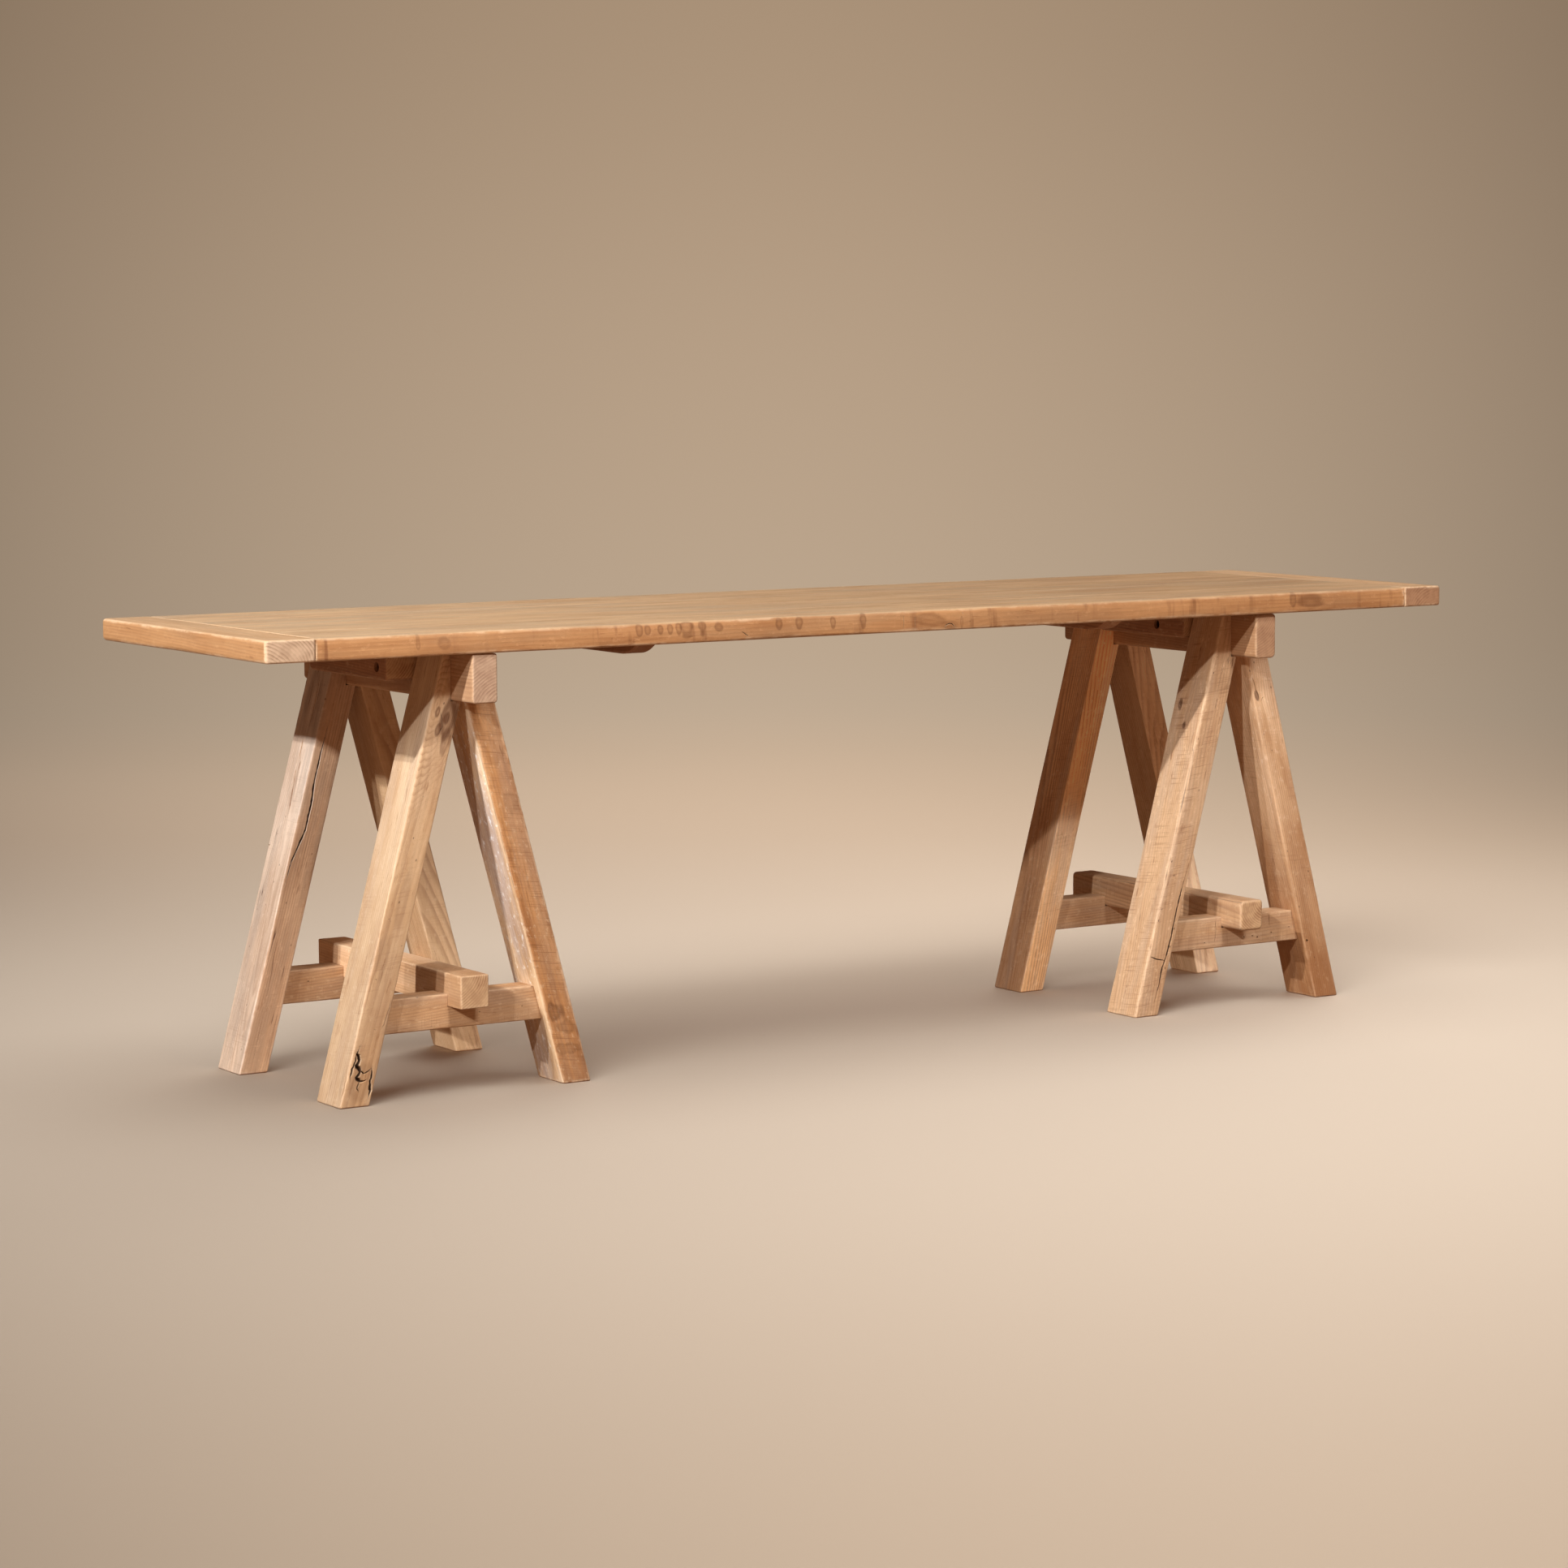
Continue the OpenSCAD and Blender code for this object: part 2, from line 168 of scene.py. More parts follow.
class Timber:
    """A sawn timber. Its local axes are u across, v across and s along the grain, in metres."""

    def __init__(self, name, size, origin, axes, body, slot, radii=0.003, end=0.003, seed=1, gap=0.009,
            dents=0.0006, chips=0.0012, step=0.009, bend=None):
        self.name, self.size, self.seed = name, size, seed
        self.origin = np.array(origin, float)
        self.axes = np.array(axes, float)
        self.inverse = np.linalg.inv(self.axes)
        self.body, self.slot_name = body, slot
        self.cutters = []
        radii = np.array([radii] * 4 if np.isscalar(radii) else radii, float)
        local, faces = self.shape(radii, end, gap, dents, chips, step, bend)
        if np.linalg.det(self.axes) < 0:
            faces = faces[:, ::-1]
        mesh = bpy.data.meshes.new(name + "_shape")
        mesh.from_pydata(self.place(local).tolist(), [], faces.tolist())
        mesh.update()
        self.obj = linked(name + "_timber", mesh)

    def place(self, local):
        return np.asarray(local) @ self.axes + self.origin

    def unplace(self, world):
        return (np.asarray(world) - self.origin) @ self.inverse

    def shape(self, radii, end, gap, dents, chips, step, bend):
        width, depth, length = self.size
        counts = [max(2, round(width / gap)), max(2, round(depth / gap))]
        ease = end * (1 - np.cos(np.linspace(0, math.pi / 2, 5)))
        inner = np.linspace(end, length - end, max(3, round(length / step)))[1:-1]
        fine = end + np.arange(1, 5) * 0.0022
        near = np.concatenate([ease, fine])
        inner = inner[(inner > near[-1] + 0.003) & (inner < length - near[-1] - 0.003)]
        s = np.concatenate([near, inner, (length - near)[::-1]])
        edge = np.minimum(s, length - s)
        inset = end * (1 - np.sqrt(np.clip(1 - (1 - np.clip(edge / end, 0, 1)) ** 2, 0, 1)))
        r = np.stack([radii[c] * (1 + 0.35 * along(s * 9, self.seed + 31 + c) + 0.5
            * np.clip(along(s * 3.1, self.seed + 41 + c) - 0.3, 0, 1)) for c in range(4)], 1)
        r = np.maximum(r * (1 - 0.5 * inset / end)[:, None], 0.0004)
        ring, normals, weights = section(width / 2 - inset, depth / 2 - inset, r, counts)
        stations, around = ring.shape[:2]
        p = np.concatenate([ring, np.broadcast_to(s[:, None, None], (stations, around, 1))], 2)
        flat = p.reshape(-1, 3)
        wave = 0.5 + 0.5 * noise(flat * (9, 9, 5) + 3.3, self.seed)
        fine_wave = 0.5 + 0.5 * noise(flat * (55, 55, 16) + 7.7, self.seed + 5)
        inward = dents * (wave + 0.45 * fine_wave).reshape(stations, around)
        nick = noise(flat * (60, 60, 75), self.seed + 9) + 0.6 * noise(flat * (20, 20, 22), self.seed)
        inward += chips * weights * np.clip(nick.reshape(stations, around) - 0.35, 0, 1)
        p[..., :2] -= normals * inward[..., None]
        cols, rows = counts[0] + 2 * ARC_STEPS, counts[1] + 2 * ARC_STEPS
        body = p.reshape(-1, 3)
        vertices, faces = [body], []
        i = np.arange(stations - 1)[:, None] * around
        j = np.arange(around)[None]
        k = (j + 1) % around
        faces.append(np.stack([i + j, i + k, i + around + k, i + around + j], -1).reshape(-1, 4))
        for at, first in ((0, True), (stations - 1, False)):
            grid = cap_grid(p[at], cols, rows)
            index = np.zeros((cols + 1, rows + 1), int)
            a, b = np.arange(cols + 1), np.arange(rows + 1)
            index[a, 0] = at * around + a
            index[cols, b] = at * around + cols + b
            index[a, rows] = at * around + 2 * cols + rows - a
            index[0, b] = at * around + (2 * cols + 2 * rows - b) % around
            inside = grid[1:-1, 1:-1].reshape(-1, 3)
            start = sum(len(v) for v in vertices)
            index[1:-1, 1:-1] = start + np.arange(len(inside)).reshape(cols - 1, rows - 1)
            vertices.append(inside)
            quad = [index[:-1, :-1], index[:-1, 1:], index[1:, 1:], index[1:, :-1]]
            quad = quad if first else quad[::-1]
            faces.append(np.stack(quad, -1).reshape(-1, 4))
        local = np.concatenate(vertices)
        near_end = np.minimum(local[:, 2], length - local[:, 2])
        sink = 0.0005 * (0.5 + 0.5 * noise(local * (45, 45, 1), self.seed + 13))
        sink *= np.clip(1 - near_end / 0.006, 0, 1)
        local[:, 2] += np.where(local[:, 2] < length / 2, sink, -sink)
        if bend:
            local = bend(local, self)
        return local, np.concatenate(faces)

    # Cutters are given in local coordinates and taken away when the timber is finished

    def cutter(self, vertices, faces, world=False):
        mesh = bpy.data.meshes.new("cutter")
        points = vertices if world else self.place(vertices)
        mesh.from_pydata(np.asarray(points).tolist(), [], [list(f) for f in faces])
        bm = bmesh.new()
        bm.from_mesh(mesh)
        bmesh.ops.recalc_face_normals(bm, faces=bm.faces)
        bm.to_mesh(mesh)
        bm.free()
        self.cutters.append(linked("cutter", mesh))

    def box_cut(self, low, high):
        """Takes away a box given in the frame's coordinates."""
        corners = [[(low, high)[c][k] for k, c in enumerate(t)] for t in product((0, 1), repeat=3)]
        sides = [(0, 1, 3, 2), (4, 6, 7, 5), (0, 4, 5, 1), (2, 3, 7, 6), (0, 2, 6, 4), (1, 5, 7, 3)]
        self.cutter(corners, sides, world=True)

    def prism(self, first, last, world=False):
        """Takes away the solid between two rings of points."""
        n = len(first)
        faces = [list(range(n)), list(range(n, 2 * n))]
        faces += [(k, (k + 1) % n, n + (k + 1) % n, n + k) for k in range(n)]
        self.cutter(np.concatenate([first, last]), faces, world)

    def drill(self, start, direction, radius, sides=28, ragged=0.0):
        """Drills along a vector of the frame's coordinates."""
        start, direction = np.array(start, float), np.array(direction, float)
        axis = direction / np.linalg.norm(direction)
        side = np.cross(axis, (0, 0, 1) if abs(axis[2]) < 0.9 else (1, 0, 0))
        side /= np.linalg.norm(side)
        up = np.cross(axis, side)
        turn = np.arange(sides) * 2 * math.pi / sides
        reach = radius * (1 + ragged * along(np.arange(sides) * 0.9, self.seed + 77))
        ring = np.outer(np.cos(turn) * reach, side) + np.outer(np.sin(turn) * reach, up)
        self.prism(start + ring, start + direction + ring, world=True)

    def face(self, which):
        """Outward axis, half size and the local direction across a face."""
        sign = -1 if which[0] == "-" else 1
        if which[1] == "u":
            return np.array([sign, 0, 0.0]), self.size[0] / 2, np.array([0, 1.0, 0])
        return np.array([0, sign, 0.0]), self.size[1] / 2, np.array([1.0, 0, 0])

    def crack(self, which, path, width=0.0012, depth=0.006, wander=0.0012, seed=0):
        """A tapering fissure through (across, along) points of a face.

        The points are in millimetres, the width, depth and wander in metres.
        """
        out, half, across = self.face(which)
        path = np.array(path, float) / 1000
        legs = np.linalg.norm(np.diff(path, axis=0), axis=1)
        run = np.concatenate([[0], np.cumsum(legs)])
        count = max(6, int(run[-1] / 0.004))
        t = np.linspace(0, run[-1], count)
        line = np.stack([np.interp(t, run, path[:, k]) for k in (0, 1)], 1)
        heading = np.gradient(line, axis=0)
        heading /= np.linalg.norm(heading, axis=1)[:, None]
        normal = np.stack([-heading[:, 1], heading[:, 0]], 1)
        taper = np.clip(np.minimum(t, run[-1] - t) / (0.25 * run[-1]), 0.12, 1)
        jog = along(t * 130, self.seed + seed) + 0.6 * along(t * 310, self.seed + seed + 3)
        line = line + normal * (wander * jog * taper)[:, None]
        wide = width / 2 * taper * (1 + 0.45 * along(t * 190, self.seed + seed + 7))
        deep = depth * taper
        over = 0.002
        rows = []
        for sign in (-1, 1):
            edge = line + sign * normal * (wide * (1 + over / np.maximum(deep, 0.001)))[:, None]
            rows.append((edge, np.full(count, half + over)))
        rows.append((line, half - deep))
        vertices = []
        for k in range(count):
            for flat, height in rows:
                vertices.append(across * flat[k, 0] + np.array([0, 0, flat[k, 1]]) + out * height[k])
        faces = [(0, 1, 2), (3 * count - 3, 3 * count - 2, 3 * count - 1)]
        for k in range(count - 1):
            for a, b in ((0, 1), (1, 2), (2, 0)):
                faces.append((3 * k + a, 3 * k + b, 3 * k + 3 + b, 3 * k + 3 + a))
        self.cutter(vertices, faces)

    def pit(self, which, across, along_mm, radius=1.0, depth=3.0, stretch=1.0):
        """A worm or nail hole in a face, in millimetres."""
        out, half, axis = self.face(which)
        centre = axis * across / 1000 + np.array([0, 0, along_mm / 1000]) + out * (half + 0.001)
        sides = 14
        turn = np.arange(sides) * 2 * math.pi / sides
        reach = radius / 1000 * (1 + 0.2 * along(np.arange(sides) * 1.3 + along_mm, self.seed))
        ring = np.outer(np.cos(turn) * reach, axis)
        ring += np.outer(np.sin(turn) * reach * stretch, (0, 0, 1))
        low = -out * (depth / 1000 + 0.001)
        self.prism(centre + ring, centre + low + ring * 0.7)

    def finish(self, look):
        """Cuts, stores the grain coordinates, shades and hands the timber to the frame."""
        obj = self.obj
        for cutter in self.cutters:
            change = obj.modifiers.new("cut", "BOOLEAN")
            change.operation = "DIFFERENCE"
            change.solver = "MANIFOLD"
            change.object = cutter
        if self.cutters:
            graph = bpy.context.evaluated_depsgraph_get()
            before = len(obj.data.polygons)
            result = bpy.data.meshes.new_from_object(obj.evaluated_get(graph))
            obj.modifiers.clear()
            if len(result.polygons) < before // 3:
                raise ValueError("cut failed on " + self.name)
            obj.data = result
            for cutter in self.cutters:
                bpy.data.objects.remove(cutter)
        mesh = obj.data
        world = np.zeros(len(mesh.vertices) * 3)
        mesh.vertices.foreach_get("co", world)
        grain = self.unplace(world.reshape(-1, 3))
        layer = mesh.attributes.new("grain", "FLOAT_VECTOR", "POINT")
        layer.data.foreach_set("vector", grain.ravel())
        mesh.polygons.foreach_set("use_smooth", [True] * len(mesh.polygons))
        mesh.set_sharp_from_angle(angle=math.radians(34))
        mesh.materials.clear()
        mesh.materials.append(wood(self.name + "_wood", look, self.size, self.seed))
        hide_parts(self.name)
        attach(obj, self.body)


# ---- Wood material ----

def tone(r, g, b):
    """Linear colour from the 0 to 255 values that a screen shows."""
    def part(c):
        c /= 255
        return c / 12.92 if c <= 0.04045 else ((c + 0.055) / 1.055) ** 2.4
    return part(r), part(g), part(b), 1.0


class Graph:
    """Short names for the nodes that the materials are made of."""

    def __init__(self, name):
        self.material = bpy.data.materials.new(name)
        self.material.use_nodes = True
        self.tree = self.material.node_tree
        self.tree.nodes.clear()

    def add(self, kind, **settings):
        node = self.tree.nodes.new(kind)
        for key, value in settings.items():
            setattr(node, key, value)
        return node

    def plug(self, socket, value):
        if isinstance(value, bpy.types.NodeSocket):
            self.tree.links.new(value, socket)
        else:
            socket.default_value = value

    def fill(self, node, *values):
        """Plugs values into a node's inputs in their order."""
        for socket, value in zip(node.inputs, values):
            self.plug(socket, value)
        return node.outputs[0]

    def fed(self, kind, **inputs):
        """A node whose inputs are named, with an underscore for a space."""
        node = self.add(kind)
        for name, value in inputs.items():
            self.plug(node.inputs[name.replace("_", " ")], value)
        return node.outputs[0]

    def surface(self, shader):
        """Ends the material with a shader."""
        self.plug(self.add("ShaderNodeOutputMaterial").inputs["Surface"], shader)
        return self.material

    def math(self, operation, *values):
        return self.fill(self.add("ShaderNodeMath", operation=operation), *values)

    def times(self, a, b):
        return self.math("MULTIPLY", a, b)

    def minus(self, a, b):
        return self.math("SUBTRACT", a, b)

    def over(self, a, b):
        return self.math("DIVIDE", a, b)

    def scaled(self, value, factor, base):
        """value * factor + base."""
        return self.math("MULTIPLY_ADD", value, factor, base)

    def vector(self, operation, *values):
        node = self.add("ShaderNodeVectorMath", operation=operation)
        self.fill(node, *values)
        return node.outputs["Value" if operation in ("LENGTH", "DOT_PRODUCT") else "Vector"]

    def noise(self, vector, stretch, detail=2.0, rough=0.5, shift=0.0):
        moved = self.vector("MULTIPLY_ADD", vector, stretch, (shift, shift * 0.7, shift * 1.3))
        return self.fed("ShaderNodeTexNoise", Vector=moved, Scale=1.0, Detail=detail, Roughness=rough)

    def step(self, value, low, high, to_low=0.0, to_high=1.0):
        node = self.add("ShaderNodeMapRange", interpolation_type="SMOOTHSTEP")
        return self.fill(node, value, low, high, to_low, to_high)

    def mix(self, factor, a, b, blend="MIX"):
        node = self.add("ShaderNodeMix", data_type="RGBA", blend_type=blend)
        node.clamp_factor = True
        self.plug(node.inputs[0], factor)
        self.plug(node.inputs[6], a)
        self.plug(node.inputs[7], b)
        return node.outputs[2]

    def facing(self, towards):
        """One where a surface faces a direction of the frame, zero where it doesn't."""
        normal = self.add("ShaderNodeNewGeometry").outputs["Normal"]
        return self.step(self.vector("DOT_PRODUCT", normal, towards), 0.55, 0.85)

    def sum(self, *values):
        total = values[0]
        for value in values[1:]:
            total = self.math("ADD", total, value)
        return total


# In the looks, faces and run paint light and shade into the colour, the arris wear also paints the
# highlight along arrises, and deep sets how far below the faces the painted shade of cracks and holes
# begins
WOOD = dict(light=tone(216, 186, 148), dark=tone(178, 136, 98), late=tone(144, 98, 64),
    pale=tone(228, 202, 170), grey=tone(178, 158, 140), ring=0.0045, contrast=0.5, pith=(0.02, -0.08),
    drift=(0.02, 0.05), wobble=0.006, blotch=0.5, weather=0.15, saw=0.15, saw_tilt=0.0, band=0.0,
    speck=0.3, check=0.2, wear=0.25, fibre=0.5, rough=0.56, deep=0.0016, fleck=0.5, mottle=0.3, knots=(),
    spots=(), faces=(), arcs=(), saw_cover=0.4, saw_face=None, run=None, core=0.8,
    end_light=tone(205, 170, 132), end_dark=tone(150, 108, 74), streak=0.35)


def wood(name, look, size, seed):
    """A wood whose grain follows the timber's own axes."""
    look = {**WOOD, **look}
    g = Graph(name)
    grain = g.add("ShaderNodeAttribute", attribute_name="grain").outputs["Vector"]
    parts = g.add("ShaderNodeSeparateXYZ")
    g.plug(parts.inputs[0], grain)
    u, v, s = parts.outputs
    shift = seed * 3.17

    # Distances to the faces: the middle one of the three is the distance to the arris
    du = g.minus(size[0] / 2, g.math("ABSOLUTE", u))
    dv = g.minus(size[1] / 2, g.math("ABSOLUTE", v))
    ds = g.math("MINIMUM", s, g.minus(size[2], s))
    side = g.math("MINIMUM", du, dv)
    nearest = g.math("MINIMUM", side, ds)
    farthest = g.math("MAXIMUM", g.math("MAXIMUM", du, dv), ds)
    arris = g.minus(g.minus(g.sum(du, dv, ds), nearest), farthest)
    end = g.step(g.minus(side, ds), 0.0, 0.0016)

    # Growth rings round a pith that drifts along the timber
    warp = g.noise(grain, (13, 13, 2.6), 2.0, 0.5, shift)
    fine_warp = g.noise(grain, (70, 70, 9), 1.0, 0.5, shift + 5)
    pu = g.minus(u, g.scaled(s, look["drift"][0], look["pith"][0]))
    pv = g.minus(v, g.scaled(s, look["drift"][1], look["pith"][1]))
    radius = g.math("SQRT", g.sum(g.times(pu, pu), g.times(pv, pv)))
    radius = g.scaled(warp, look["wobble"] * 2.4, radius)
    radius = g.scaled(fine_warp, 0.0012, radius)
    core = None
    for ku, kv, ks, size_mm in look["knots"]:
        away = g.vector("SUBTRACT", grain, (ku / 1000, kv / 1000, ks / 1000))
        away = g.vector("LENGTH", g.vector("MULTIPLY", away, (1.0, 1.0, 0.62)))
        wide = size_mm / 1000
        swell = g.math("EXPONENT", g.times(g.math("POWER", away, 2.0), -0.22 / wide ** 2))
        radius = g.scaled(swell, wide * 0.85, radius)
        away = g.scaled(g.minus(fine_warp, 0.5), wide * 0.9, away)
        inside = g.step(away, wide * 0.62, wide * 0.3)
        core = inside if core is None else g.math("MAXIMUM", core, inside)
    turn = g.math("FRACT", g.over(radius, look["ring"]))
    late = g.times(g.step(turn, 0.25, 0.86), g.step(turn, 1.0, 0.9))
    fade = g.step(g.noise(grain, (30, 30, 5), 2.0, 0.5, shift + 9), 0.3, 0.65)
    late = g.times(late, g.scaled(fade, 0.75, 0.2))

    # Fibres, streaks and broad changes of colour
    fibre = g.noise(grain, (820, 820, 26), 3.0, 0.6, shift)
    streak = g.noise(grain, (150, 150, 5), 3.0, 0.6, shift + 2)
    blotch = g.noise(grain, (16, 16, 5), 3.0, 0.6, shift + 4)
    weather = g.noise(grain, (26, 26, 3.4), 4.0, 0.62, shift + 6)
    tint = g.sum(g.times(g.step(blotch, 0.35, 0.68), look["blotch"]), g.times(g.minus(streak, 0.5),
        look["streak"] * 2.2), g.times(g.minus(fibre, 0.5), look["fibre"] * 0.9))
    colour = g.mix(g.sum(tint, 0.05), look["light"], look["dark"])
    colour = g.mix(g.times(late, look["contrast"]), colour, look["late"])
    colour = g.mix(g.times(g.step(weather, 0.42, 0.66), look["weather"]), colour, look["grey"])

    # Short dark flecks along the grain and a fine mottle
    fleck = g.step(g.noise(grain, (260, 260, 30), 2.0, 0.6, shift + 15), 0.6, 0.72)
    fleck_area = g.step(g.noise(grain, (34, 34, 12), 2.0, 0.5, shift + 17), 0.42, 0.6)
    fleck = g.times(g.times(fleck, fleck_area), look["fleck"])
    colour = g.mix(fleck, colour, look["late"])
    mottle = g.noise(grain, (110, 110, 70), 4.0, 0.7, shift + 19)
    colour = g.mix(g.times(g.step(mottle, 0.55, 0.72), look["mottle"]), colour, look["dark"])
    colour = g.mix(g.times(g.step(mottle, 0.46, 0.3), look["mottle"]), colour, look["pale"])

    # Arcs of growth rings below a knot
    for ku, kv, ks, spacing, reach_mm, squash, strength in look["arcs"]:
        away = g.vector("SUBTRACT", grain, (ku / 1000, kv / 1000, ks / 1000))
        away = g.vector("LENGTH", g.vector("MULTIPLY", away, (1.0, 1.0, squash)))
        away = g.scaled(warp, spacing / 110, away)
        away = g.scaled(fine_warp, spacing / 700, away)
        ring = g.math("FRACT", g.over(away, spacing / 1000))
        ring = g.times(g.step(ring, 0.35, 0.9), g.step(ring, 1.0, 0.93))
        inside = g.step(away, reach_mm / 1000, reach_mm / 2000)
        inside = g.times(g.times(inside, fade), g.facing((0, -1, 0)))
        colour = g.mix(g.times(g.times(ring, inside), strength), colour, look["late"])

    # Marks of the saw across the grain
    if look["saw"]:
        lean_s = g.scaled(g.sum(u, v), look["saw_tilt"], s)
        place = g.fill(g.add("ShaderNodeCombineXYZ"), u, v, lean_s)
        saw = g.noise(place, (14, 14, 420), 2.0, 0.55, shift)
        where = g.noise(grain, (22, 22, 9), 2.0, 0.5, shift + 8)
        cover = g.step(where, look["saw_cover"], look["saw_cover"] + 0.2)
        saw = g.times(g.step(saw, 0.52, 0.7), cover)
        if look["saw_face"]:
            saw = g.times(saw, g.facing(look["saw_face"]))
        colour = g.mix(g.times(saw, look["saw"]), colour, look["late"])
    else:
        saw = 0.0
    if look["band"]:
        band = g.noise(grain, (9, 9, 62), 2.0, 0.5, shift + 3)
        patch = g.noise(grain, (5, 5, 7), 1.0, 0.5, shift + 7)
        band = g.times(g.step(band, 0.53, 0.7), g.step(patch, 0.38, 0.6))
        band = g.times(band, g.facing((0, -1, 0)))
        colour = g.mix(g.times(band, look["band"]), colour, tone(112, 66, 38))

    # Pores, specks and hairline checks
    pore = g.noise(grain, (1500, 1500, 110), 1.0, 0.5, shift)
    pore = g.step(pore, 0.64, 0.76)
    colour = g.mix(g.times(pore, 0.28), colour, look["late"])
    cell = g.add("ShaderNodeTexVoronoi", feature="F1")
    g.plug(cell.inputs["Vector"], g.vector("MULTIPLY_ADD", grain, (75, 75, 42), (shift, 1.3, 2.9)))
    cell.inputs["Scale"].default_value = 1.0
    chosen = g.add("ShaderNodeSeparateColor")
    g.plug(chosen.inputs[0], cell.outputs["Color"])
    speck = g.times(g.step(cell.outputs["Distance"], 0.12, 0.05), g.step(chosen.outputs[0], 0.8, 0.82))
    colour = g.mix(g.times(speck, look["speck"]), colour, tone(62, 36, 22))
    split = g.noise(grain, (46, 46, 1.9), 2.0, 0.45, shift + 11)
    split = g.step(g.math("ABSOLUTE", g.minus(split, 0.5)), 0.006, 0.001)
    split = g.times(split, g.step(g.noise(grain, (20, 20, 8), 1.0, 0.5, shift), 0.5, 0.62))
    split = g.times(split, look["check"])
    colour = g.mix(split, colour, tone(74, 44, 28))
    if core is not None:
        ripple = g.math("FRACT", g.over(radius, 0.0021))
        heart = g.mix(g.step(ripple, 0.3, 0.9), tone(118, 78, 52), tone(70, 44, 30))
        colour = g.mix(g.times(core, look["core"]), colour, heart)
    for su, sv, ss, wide, tall, strength in look["spots"]:
        away = g.vector("SUBTRACT", grain, (su / 1000, sv / 1000, ss / 1000))
        away = g.vector("MULTIPLY", away, (1000 / tall, 1000 / tall, 1000 / wide))
        away = g.scaled(g.minus(fine_warp, 0.5), 1.3, g.vector("LENGTH", away))
        rim = g.scaled(g.step(away, 0.1, 0.6), 0.5, 0.5)
        rim = g.times(rim, g.step(away, 1.0, 0.66))
        colour = g.mix(g.times(rim, strength), colour, tone(96, 56, 32))

    # End grain: paler, with the rings' arcs and the saw's crossing lines
    cross = g.noise(g.vector("MULTIPLY", grain, (1.0, 1.0, 0.02)), (60, 60, 60), 2.0, 0.6, shift)
    hatch = g.math("SINE", g.times(g.minus(u, g.times(v, 1.3)), 1700.0))
    end_tint = g.sum(g.times(late, 0.62), g.times(hatch, 0.08), g.times(g.step(cross, 0.3, 0.7), 0.4))
    end_colour = g.mix(end_tint, look["end_light"], look["end_dark"])
    colour = g.mix(end, colour, end_colour)

    # Painted light and shade: faces turned one way are made lighter or darker, and run paints a gradient
    # of light along the timber's length
    for towards, tint in look["faces"]:
        colour = g.mix(g.facing(towards), colour, g.mix(1.0, colour, (*tint, 1.0), "MULTIPLY"))
    # run: painted light and shade along the length, lighter towards one end and darker towards the other
    if look["run"]:
        first, last = look["run"]
        place = g.step(s, 0.0, size[2])
        colour = g.mix(1.0, colour, g.mix(place, (*first, 1.0), (*last, 1.0)), "MULTIPLY")

    # Worn arrises, whose pale colour also paints the highlight along them, and painted shade deep in
    # cracks and holes
    # Pale worn arrises: partly real wear, partly a painted highlight where the lamps catch the rounded
    # arris
    scuff = g.noise(grain, (120, 120, 60), 3.0, 0.6, shift + 13)
    reach = g.scaled(g.noise(grain, (18, 18, 14), 1.0, 0.5, shift), 0.011, 0.0006)
    worn_lit_arris = g.times(g.step(g.over(arris, reach), 1.0, 0.25), g.step(scuff, 0.3, 0.6))
    colour = g.mix(g.times(worn_lit_arris, look["wear"]), colour, look["pale"])
    # Painted shade, with the old dirt of cracks: the surface is darkened where it lies deep below the
    # timber's faces, in cracks, holes and notches
    deep = g.step(nearest, look["deep"], look["deep"] + 0.0022)
    colour = g.mix(g.times(deep, 0.9), colour, tone(50, 28, 17))

    rough = g.sum(look["rough"], g.times(g.minus(blotch, 0.5), 0.25), g.times(fibre, 0.08),
        g.times(worn_lit_arris, -0.06))
    height = g.sum(g.times(fibre, 0.55), g.times(late, 0.35), g.times(saw, -0.5), g.times(pore, -0.5),
        g.times(streak, 0.6), g.times(split, -2.0))
    bump = g.fed("ShaderNodeBump", Strength=0.5, Distance=0.0006, Height=height)
    return g.surface(g.fed("ShaderNodeBsdfPrincipled", Base_Color=colour, Roughness=rough, IOR=1.43,
        Normal=bump))


# ---- Looks of the kinds of timber ----

HONEY = dict(light=tone(216, 184, 146), dark=tone(180, 138, 98))
BROWN = dict(light=tone(210, 156, 104), dark=tone(162, 108, 64), late=tone(122, 76, 44), saw=0.5,
    saw_tilt=0.12)
PALE = dict(light=tone(218, 198, 180), dark=tone(170, 140, 116), late=tone(138, 106, 84),
    pale=tone(232, 214, 198), grey=tone(162, 148, 138), weather=0.6, check=0.8, contrast=0.4)
TOP = dict(light=tone(204, 172, 134), dark=tone(168, 130, 94), late=tone(146, 104, 70),
    grey=tone(172, 154, 132), weather=0.5, ring=0.006, contrast=0.26, rough=0.5, streak=0.6, saw=0.0)
DULL = dict(light=tone(178, 132, 98), dark=tone(140, 96, 68), late=tone(110, 72, 50), wear=0.2)
BEAM = dict(light=tone(204, 166, 130), dark=tone(166, 124, 90), end_light=tone(200, 170, 144),
    end_dark=tone(156, 122, 100))
RAIL = dict(light=tone(200, 160, 120), dark=tone(162, 120, 82), speck=0.8)


def corner_round(a, b, radius):
    """Moves points past a corner's centre so that a square corner becomes an arc."""
    past = (a > 0) & (b > 0)
    scale = np.where(past, np.maximum(a, b) / np.maximum(np.hypot(a, b), 1e-9), 1.0)
    return a * scale, b * scale


